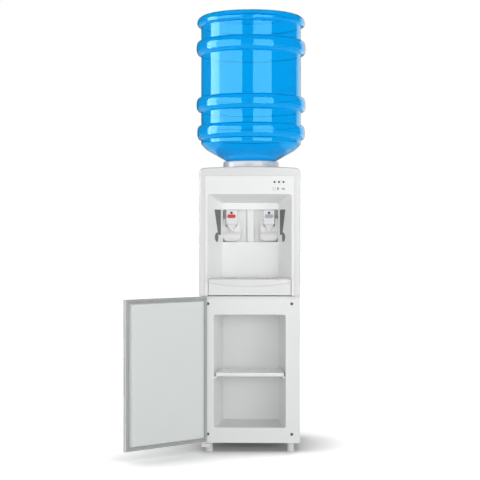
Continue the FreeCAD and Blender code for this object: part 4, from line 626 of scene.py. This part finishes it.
def bottle_profile(shrink):
    """Outside of the bottle from its mouth to its base, moved inwards by shrink."""
    hollow = sizes().ring_hollow
    corners = list(SHOULDER)
    for low, ring in BOTTLE_RINGS:
        high = low + RING_HEIGHT
        corners.append((WALL_RADIUS, low, hollow))
        corners += bulge(low, high, ring)
        corners.append((WALL_RADIUS, high, hollow))
    low, ring = BASE_RING
    corners.append((WALL_RADIUS, low, hollow))
    corners += bulge(low, low + BASE_FOOT * 2, ring, last=90.0)
    corners += base_edge(ring, low + BASE_FOOT)
    path = rounded_path(corners + BASE)
    moved = []
    for i, point in enumerate(path):
        before = path[max(i - 1, 0)]
        after = path[min(i + 1, len(path) - 1)]
        along = (after - before).normalized()
        place = point + Vector((-along.y, along.x, 0)) * shrink
        moved.append((max(place.x, 0.0), place.y))
    moved[-1] = (0.0, moved[-1][1])
    return moved


class COOLER_OT_bottle(bpy.types.Operator):
    """Blow the bottle with its rounded rings, and dress its cap"""

    bl_idname = "cooler.bottle"
    bl_label = "Bottle"

    def execute(self, context):
        outside = bottle_profile(0.0)
        inside = bottle_profile(sizes().bottle_wall)
        inside[0] = (inside[0][0], outside[0][1])
        profile = outside + inside[::-1]
        shell = lathe("bottle_shell", profile, clear_blue(), BOTTLE_SEGMENTS, BOTTLE_AXIS)
        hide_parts("bottle")
        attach(shell, "bottle")
        dress(moulding("Cap Plastic", (0.62, 0.72, 0.82), 0.4), "bottle_cap")
        return {"FINISHED"}


# ---------------------------------------------------------------------------------------------
# Casing
# ---------------------------------------------------------------------------------------------

BACK_SHADE = 0.92
SCREW_SIDE = 0.1305
SCREW_HEIGHTS = (0.058, 0.235, 0.412, 0.589, 0.752)
SCREW_RISE = 0.0016
SCREW_SEGMENTS = 40
# Shares of the head's radius and rise, and how far a ring is drawn into lobes
SCREW_PROFILE = (
    (0.0, 0.35),
    (0.26, 0.35, 0.30),
    (0.36, 0.96, 0.30),
    (0.55, 1.0),
    (0.86, 0.82),
    (1.0, 0.35),
    (1.0, 0.0),
    (0.0, 0.0),
)


class COOLER_OT_casing(bpy.types.Operator):
    """Paint the steel casing, and finish the moulded top and the feet"""

    bl_idname = "cooler.casing"
    bl_label = "Casing"

    def execute(self, context):
        tone = colours()
        case = painted("Case Paint", tone.case, surface().steel)
        dress(case, "side_panel_left", "side_panel_right", "mid_deck")
        back = painted("Back Paint", [c * BACK_SHADE for c in tone.case], 0.42)
        dress(back, "back_panel", "base_plate", "tank_bridge")
        dress(painted("Bracket Paint", tone.fascia, 0.3), "lower_hinge")
        dress(moulding("Top Moulding", tone.fascia, surface().gloss, coat=0.2), "top_cover")
        collar = moulding("Collar Moulding", (0.87, 0.87, 0.865), 0.35, coat=0.2)
        dress(collar, "bottle_collar")
        dress(moulding("Seat Moulding", tone.panel, surface().satin), "water_seat")
        dress(moulding("Foot Moulding", tone.foot, 0.5, bump=0.3, cloud=0.06), "feet")
        rubber = moulding("Mount Rubber", tone.rubber, 0.72, bump=0.5, cloud=0.2)
        dress(rubber, "compressor_mounts")
        dress(metal("Zinc Plate", (0.62, 0.63, 0.64), 0.38), "upper_hinge")
        self.back_screws()
        return {"FINISHED"}

    def back_screws(self):
        """Domed screws with a four-lobed recess, down both edges of the back panel"""
        zinc = metal("Screw Zinc", (0.58, 0.58, 0.57), 0.34)
        radius = sizes().screw_radius
        profile = [(r * radius, rise * SCREW_RISE, *lobe) for r, rise, *lobe in SCREW_PROFILE]
        heads = []
        for side in (-1, 1):
            for height in SCREW_HEIGHTS:
                head = lathe("head", profile, zinc, SCREW_SEGMENTS, closed=False)
                place = Vector((side * SCREW_SIDE, BACK_FACE, height))
                heads.append(set_on(head, place, "back"))
        screws = joined("back_screws", heads)
        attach(screws, "housing")


# ---------------------------------------------------------------------------------------------
# Front
# ---------------------------------------------------------------------------------------------

SIGN_THICKNESS = 0.00012
ROUND_SIGN = (0.068, PANEL_FRONT, 0.7325)
ROUND_SIGN_SEGMENTS = 48
DOT_RADIUS = 0.0018
DOT_SEGMENTS = 32
DROP_SIGN = (0.0785, PANEL_FRONT, 0.7330)
DROP_STRETCH = 2.6
# Place and stretch of the two dots
DOTS = (
    ((0.0905, PANEL_FRONT, 0.7325), 1.0),
    ((0.0951, PANEL_FRONT, 0.7325), 1.5),
)


class COOLER_OT_front(bpy.types.Operator):
    """Finish the front frame and the panel, and add the small signs under the indicators"""

    bl_idname = "cooler.front"
    bl_label = "Front"

    def execute(self, context):
        tone = colours()
        fascia = moulding("Fascia Moulding", tone.fascia, surface().gloss, coat=0.25)
        dress(fascia, "fascia_frame")
        dress(moulding("Panel Moulding", tone.panel, surface().satin, bump=0.18), "front_panel")
        dress(moulding("Lens", (0.03, 0.025, 0.025), 0.12, bump=0.0, coat=0.6), "led_lenses")
        dress(moulding("Circuit Board", (0.02, 0.16, 0.06), 0.35, cloud=0.2), "control_board")
        # The inlays' dark grey is painted shade for the shadowed depth of the side slots.
        dress(moulding("Slot Inlay", tone.inlay, 0.5), "slot_inlays")
        self.signs()
        return {"FINISHED"}

    def signs(self):
        """A round, a drop-like and a dotted sign, one under each indicator"""
        ink = moulding("Sign Ink", colours().sign, 0.5, bump=0.05)
        pale = moulding("Pale Sign Ink", (0.42, 0.42, 0.43), 0.5, bump=0.05)
        radius, thick = sizes().sign_radius, SIGN_THICKNESS
        inner = radius - sizes().sign_line
        ring = [(inner, 0.0), (radius, 0.0), (radius, thick), (inner, thick)]
        round_sign = lathe("round_sign", ring, pale, ROUND_SIGN_SEGMENTS)
        set_on(round_sign, ROUND_SIGN, "front")
        drop_sign = self.dot("drop_sign", ink, DROP_SIGN, DROP_STRETCH)
        dots = [self.dot("dot", ink, place, stretch) for place, stretch in DOTS]
        for sign in (round_sign, drop_sign, joined("dot_sign", dots)):
            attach(sign, "housing")

    def dot(self, name, ink, place, stretch):
        """A thin disc on the panel, stretched upwards"""
        disc = [(0.0, 0.0), (DOT_RADIUS, 0.0), (DOT_RADIUS, SIGN_THICKNESS), (0.0, SIGN_THICKNESS)]
        piece = lathe(name, disc, ink, DOT_SEGMENTS, closed=False)
        return set_on(piece, place, "front", stretch)


class COOLER_OT_taps(bpy.types.Operator):
    """Finish the taps, their labels and the two paddles"""

    bl_idname = "cooler.taps"
    bl_label = "Taps"

    def execute(self, context):
        tone = colours()
        white = moulding("Tap Moulding", (0.82, 0.82, 0.83), 0.22, coat=0.35)
        dress(white, "hot_tap_body", "cold_tap_body")
        paddle = moulding("Paddle Moulding", (0.86, 0.86, 0.86), 0.26, coat=0.3)
        dress(paddle, "hot_paddle", "cold_paddle")
        dress(moulding("Hot Label", tone.hot, 0.2, bump=0.05, coat=0.4), "hot_tap_label")
        dress(moulding("Cold Label", tone.cold, 0.2, bump=0.05, coat=0.4), "cold_tap_label")
        dress(moulding("Dark Stud", tone.dark, 0.35), "tap_studs")
        dress(moulding("Nut Nylon", (0.7, 0.7, 0.66), 0.45), "tap_nuts")
        dress(metal("Pin Steel", (0.64, 0.65, 0.66), 0.22), "tap_pins")
        return {"FINISHED"}


class COOLER_OT_tray(bpy.types.Operator):
    """Finish the drip tray and its grille"""

    bl_idname = "cooler.tray"
    bl_label = "Drip tray"

    def execute(self, context):
        tone = colours()
        dress(moulding("Tray Moulding", tone.fascia, 0.3, coat=0.15), "drip_tray")
        dress(moulding("Grille Moulding", tone.shelf, 0.36), "drip_grille")
        return {"FINISHED"}


# ---------------------------------------------------------------------------------------------
# Cabinet and door
# ---------------------------------------------------------------------------------------------

GASKET_HALF = 0.1365
GASKET_LOW = 0.0305
GASKET_HIGH = 0.4325
GASKET_CORNER = 0.004
# Distance inwards and rise over the door's inside: a ribbed foot, then a round bead
GASKET_SECTION = (
    (0.0000, 0.0003), (0.0000, 0.0010), (0.0005, 0.0015), (0.0022, 0.0015),
    (0.0027, 0.0010), (0.0044, 0.0010), (0.0050, 0.0016), (0.0059, 0.0018),
    (0.0061, 0.0034), (0.0067, 0.0043), (0.0078, 0.0046), (0.0089, 0.0043),
    (0.0095, 0.0034), (0.0097, 0.0018), (0.0101, 0.0014), (0.0101, 0.0003),
)


class COOLER_OT_cabinet(bpy.types.Operator):
    """Finish the cabinet's liner, plugs, shelf and foam"""

    bl_idname = "cooler.cabinet"
    bl_label = "Cabinet"

    def execute(self, context):
        tone = colours()
        dress(moulding("Liner Sheet", tone.liner, 0.34, bump=0.1, coat=0.1), "cabinet_liner")
        dress(moulding("Plug Plastic", (0.08, 0.08, 0.085), 0.4), "liner_plugs")
        dress(moulding("Shelf Moulding", tone.shelf, 0.28, coat=0.2), "shelf")
        foam = moulding("Foam", tone.foam, 0.9, bump=0.8, cloud=0.25)
        dress(foam, "cabinet_foam", "door_foam", "cold_tank_foam")
        return {"FINISHED"}


class COOLER_OT_door(bpy.types.Operator):
    """Finish the door, its gasket and its bushes"""

    bl_idname = "cooler.door"
    bl_label = "Door"

    def execute(self, context):
        tone = colours()
        # The door's darker tone is painted shade on the open door's inside and free edge.
        dress(moulding("Door Skin", tone.door, 0.3, coat=0.2), "door_outer")
        dress(moulding("Door Inside", tone.door, 0.42, bump=0.2), "door_inner")
        dress(moulding("Bush Plastic", tone.dark, 0.5), "door_bushes")
        self.gasket(moulding("Gasket Rubber", tone.gasket, 0.6, bump=0.3, cloud=0.06))
        return {"FINISHED"}

    def gasket(self, rubber):
        """A soft seal over the door's rim, drawn with the door shut and turned open with it"""
        section = [(inset, DOOR_INSIDE + rise) for inset, rise in GASKET_SECTION]
        seal = swept_frame(
            "gasket_seal", GASKET_HALF, GASKET_LOW, GASKET_HIGH, GASKET_CORNER, section, rubber
        )
        turn = Matrix.Rotation(DOOR_OPEN, 4, "Z")
        seal.data.transform(Matrix.Translation(DOOR_PIVOT) @ turn @ Matrix.Translation(-DOOR_PIVOT))
        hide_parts("door_gasket")
        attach(seal, "door")


class COOLER_OT_inside(bpy.types.Operator):
    """Finish the tanks, pipes, cooling circuit and what is on the back"""

    bl_idname = "cooler.inside"
    bl_label = "Inside and back"

    def execute(self, context):
        tone = colours()
        dress(metal("Tank Steel", (0.62, 0.63, 0.64), 0.28), "cold_tank", "hot_tank")
        silicone = moulding("Silicone Pipe", (0.72, 0.74, 0.74), 0.45)
        dress(silicone, "fill_pipe", "cold_pipe", "hot_pipe")
        dress(painted("Black Enamel", (0.015, 0.015, 0.017), 0.4), "compressor", "condenser")
        dress(metal("Copper", (0.72, 0.36, 0.21), 0.3), "refrigerant_pipes")
        dress(moulding("Clip Plastic", tone.dark, 0.5), "condenser_clips")
        dress(moulding("Socket Plastic", tone.dark, 0.42), "mains_inlet", "switch_bezel")
        dress(moulding("Hot Rocker", (0.45, 0.03, 0.03), 0.3, coat=0.2), "hot_switch")
        dress(moulding("Cold Rocker", (0.02, 0.28, 0.07), 0.3, coat=0.2), "cold_switch")
        dress(moulding("Drain Plastic", (0.6, 0.61, 0.62), 0.42), "drain_stubs")
        dress(moulding("Drain Cap", tone.dark, 0.5), "hot_drain_cap", "cold_drain_cap")
        return {"FINISHED"}


# ---------------------------------------------------------------------------------------------
# Stage
# ---------------------------------------------------------------------------------------------

LIGHT_TARGET = Vector((0.0, 0.012, 0.5))
TOP_PLACE = Vector((0.0, -0.3, 3.2))
TOP_TARGET = Vector((0.0, 0.0, 0.6))
TOP_SIDE = 2.4
CARD_HEIGHT = 1.2
CARD_TALL = 1.3
# Azimuth, spread in degrees, distance and share of the cards' brightness
CARDS = {
    "card_left": (-60, 84, 1.8, 1.0),
    "card_left_edge": (-86, 26, 1.75, 1.0),
    "card_right": (27, 42, 1.8, 1.0),
    "card_far": (145, 34, 1.8, 0.26),
}
FLOOR_REACH = 30.0
FLOOR_GLOW = 0.95
SHADOW_REACH = 0.24
SHADOW_SAMPLES = 24
SHADOW_CONTRAST = 1.8
REFLECTED_SHARE = 0.3
SENSOR_WIDTH = 36.0
# The lens shift, in shares of the picture's width
SHIFT_SIDE = -0.02
SHIFT_UP = -0.025
FARTHEST = 60.0


def softbox(name, place, target, width, height, power):
    light = bpy.data.lights.new(name, "AREA")
    light.shape = "RECTANGLE"
    light.size = width
    light.size_y = height
    light.energy = power
    obj = bpy.data.objects.new(name, light)
    bpy.context.scene.collection.objects.link(obj)
    obj.location = place
    obj.rotation_euler = (target - place).to_track_quat("-Z", "Y").to_euler()
    obj.visible_transmission = False
    return obj


def around(azimuth, distance, height):
    """A place round the bottle's axis. Azimuth counts from the camera's side, to the right."""
    turn = math.radians(azimuth)
    return BOTTLE_AXIS + Vector((math.sin(turn) * distance, -math.cos(turn) * distance, height))


def straight_ray(tree):
    """1 for what the camera sees, directly or through the bottle, and 0 for all other light."""
    path = tree.nodes.new("ShaderNodeLightPath").outputs
    return math_node(tree, "MAXIMUM", path["Is Camera Ray"], path["Is Transmission Ray"])


def card(name, azimuth, spread, distance, brightness):
    """An upright glowing card that only reflections show, spread degrees wide round the bottle."""
    width = 2 * distance * math.tan(math.radians(spread) / 2)
    power = brightness * math.pi * width * CARD_TALL
    place = around(azimuth, distance, CARD_HEIGHT)
    obj = softbox(name, place, around(0, 0, CARD_HEIGHT), width, CARD_TALL, power)
    obj.visible_diffuse = False
    obj.visible_camera = False


class COOLER_OT_stage(bpy.types.Operator):
    """Lay the floor, hang the softboxes and set up the camera"""

    bl_idname = "cooler.stage"
    bl_label = "Stage"

    def execute(self, context):
        stage = context.scene.cooler_stage
        self.floor(stage.ambient)
        self.world(context, stage.ambient)
        self.lights(stage)
        self.camera(context, stage)
        context.scene.view_settings.view_transform = "Standard"
        context.scene.view_settings.look = "None"
        return {"FINISHED"}

    def lights(self, stage):
        """Softboxes that reflections don't show, one overhead that they do, and the cards"""
        for side, place, width, height in (
            ("front", Vector((0.1, -3.9, 0.45)), 5.8, 1.8),
            ("left", around(-66, 2.1, 0.55), 1.4, 1.6),
            ("right", around(46, 2.6, 0.6), 1.8, 1.8),
            ("back", around(172, 3.0, 2.2), 4.0, 2.2),
        ):
            power = getattr(stage, side)
            obj = softbox("softbox_" + side, place, LIGHT_TARGET, width, height, power)
            obj.visible_glossy = False
        softbox("softbox_top", TOP_PLACE, TOP_TARGET, TOP_SIDE, TOP_SIDE, stage.top)
        for name, (azimuth, spread, distance, share) in CARDS.items():
            card(name, azimuth, spread, distance, stage.card * share)

    def floor(self, ambient):
        """A white floor that darkens only near the cooler's feet"""
        work = bmesh.new()
        bmesh.ops.create_grid(work, x_segments=2, y_segments=2, size=FLOOR_REACH)
        material, tree, shader = new_material("Studio Floor")
        shader.inputs["Base Color"].default_value = (0.85, 0.85, 0.85, 1.0)
        shader.inputs["Roughness"].default_value = 0.8
        shader.inputs["Specular IOR Level"].default_value = 0.0
        shadow = tree.nodes.new("ShaderNodeAmbientOcclusion")
        shadow.inputs["Distance"].default_value = SHADOW_REACH
        shadow.samples = SHADOW_SAMPLES
        open_sky = math_node(tree, "POWER", shadow.outputs["AO"], SHADOW_CONTRAST)
        seen = remap(tree, straight_ray(tree), 0.0, 1.0, ambient, 1.0)
        brightness = math_node(tree, "MULTIPLY", open_sky, seen)
        glow = scaled_colour(tree, shadow.outputs["Color"], brightness)
        tree.links.new(glow, shader.inputs["Emission Color"])
        shader.inputs["Emission Strength"].default_value = FLOOR_GLOW
        obj = mesh_object("studio_floor", work, material)

    def world(self, context, ambient):
        """White to the eye and through the bottle, dim for the rest, and darker in reflections"""
        world = bpy.data.worlds.new("Studio")
        context.scene.world = world
        world.use_nodes = True
        tree = world.node_tree
        background = tree.nodes["Background"]
        background.inputs["Color"].default_value = (1.0, 1.0, 1.0, 1.0)
        glossy = tree.nodes.new("ShaderNodeLightPath").outputs["Is Glossy Ray"]
        dim = remap(tree, glossy, 0.0, 1.0, ambient, ambient * REFLECTED_SHARE)
        strength = remap(tree, straight_ray(tree), 0.0, 1.0, dim, 1.0)
        tree.links.new(strength, background.inputs["Strength"])

    def camera(self, context, stage):
        """A long lens turned towards the middle of the body's front"""
        data = bpy.data.cameras.new("camera")
        data.sensor_width = SENSOR_WIDTH
        data.lens = stage.focal
        data.shift_x = SHIFT_SIDE
        data.shift_y = SHIFT_UP
        data.clip_end = FARTHEST
        obj = bpy.data.objects.new("camera", data)
        context.scene.collection.objects.link(obj)
        away = BODY_FRONT - stage.camera_distance
        obj.location = (stage.camera_side, away, stage.camera_height)
        turn = math.atan2(stage.camera_side, stage.camera_distance)
        obj.rotation_euler = (math.pi / 2, 0.0, turn)
        context.scene.camera = obj


# ---------------------------------------------------------------------------------------------
# Add-on
# ---------------------------------------------------------------------------------------------

PIECES = (
    COOLER_OT_casing,
    COOLER_OT_front,
    COOLER_OT_taps,
    COOLER_OT_tray,
    COOLER_OT_cabinet,
    COOLER_OT_door,
    COOLER_OT_inside,
    COOLER_OT_bottle,
    COOLER_OT_stage,
)
GROUPS = {
    "cooler_colours": CoolerColours,
    "cooler_surface": CoolerSurface,
    "cooler_sizes": CoolerSizes,
    "cooler_stage": CoolerStage,
}


class COOLER_PT_panel(bpy.types.Panel):
    """Sizes, colours and pieces of the water cooler"""

    bl_idname = "COOLER_PT_panel"
    bl_label = "Water Cooler"
    bl_space_type = "VIEW_3D"
    bl_region_type = "UI"
    bl_category = "Water Cooler"

    def draw(self, context):
        for attribute in GROUPS:
            group = getattr(context.scene, attribute)
            box = self.layout.box()
            for name in group.__annotations__:
                box.prop(group, name)
        for piece in PIECES:
            self.layout.operator(piece.bl_idname)


def register():
    for attribute, group in GROUPS.items():
        bpy.utils.register_class(group)
        setattr(bpy.types.Scene, attribute, bpy.props.PointerProperty(type=group))
    for piece in PIECES:
        bpy.utils.register_class(piece)
    bpy.utils.register_class(COOLER_PT_panel)


def unregister():
    bpy.utils.unregister_class(COOLER_PT_panel)
    for piece in reversed(PIECES):
        bpy.utils.unregister_class(piece)
    for attribute, group in GROUPS.items():
        delattr(bpy.types.Scene, attribute)
        bpy.utils.unregister_class(group)


def main():
    register()
    for piece in PIECES:
        family, name = piece.bl_idname.split(".")
        getattr(getattr(bpy.ops, family), name)()
    bpy.context.view_layer.update()


if __name__ == "__main__":
    main()
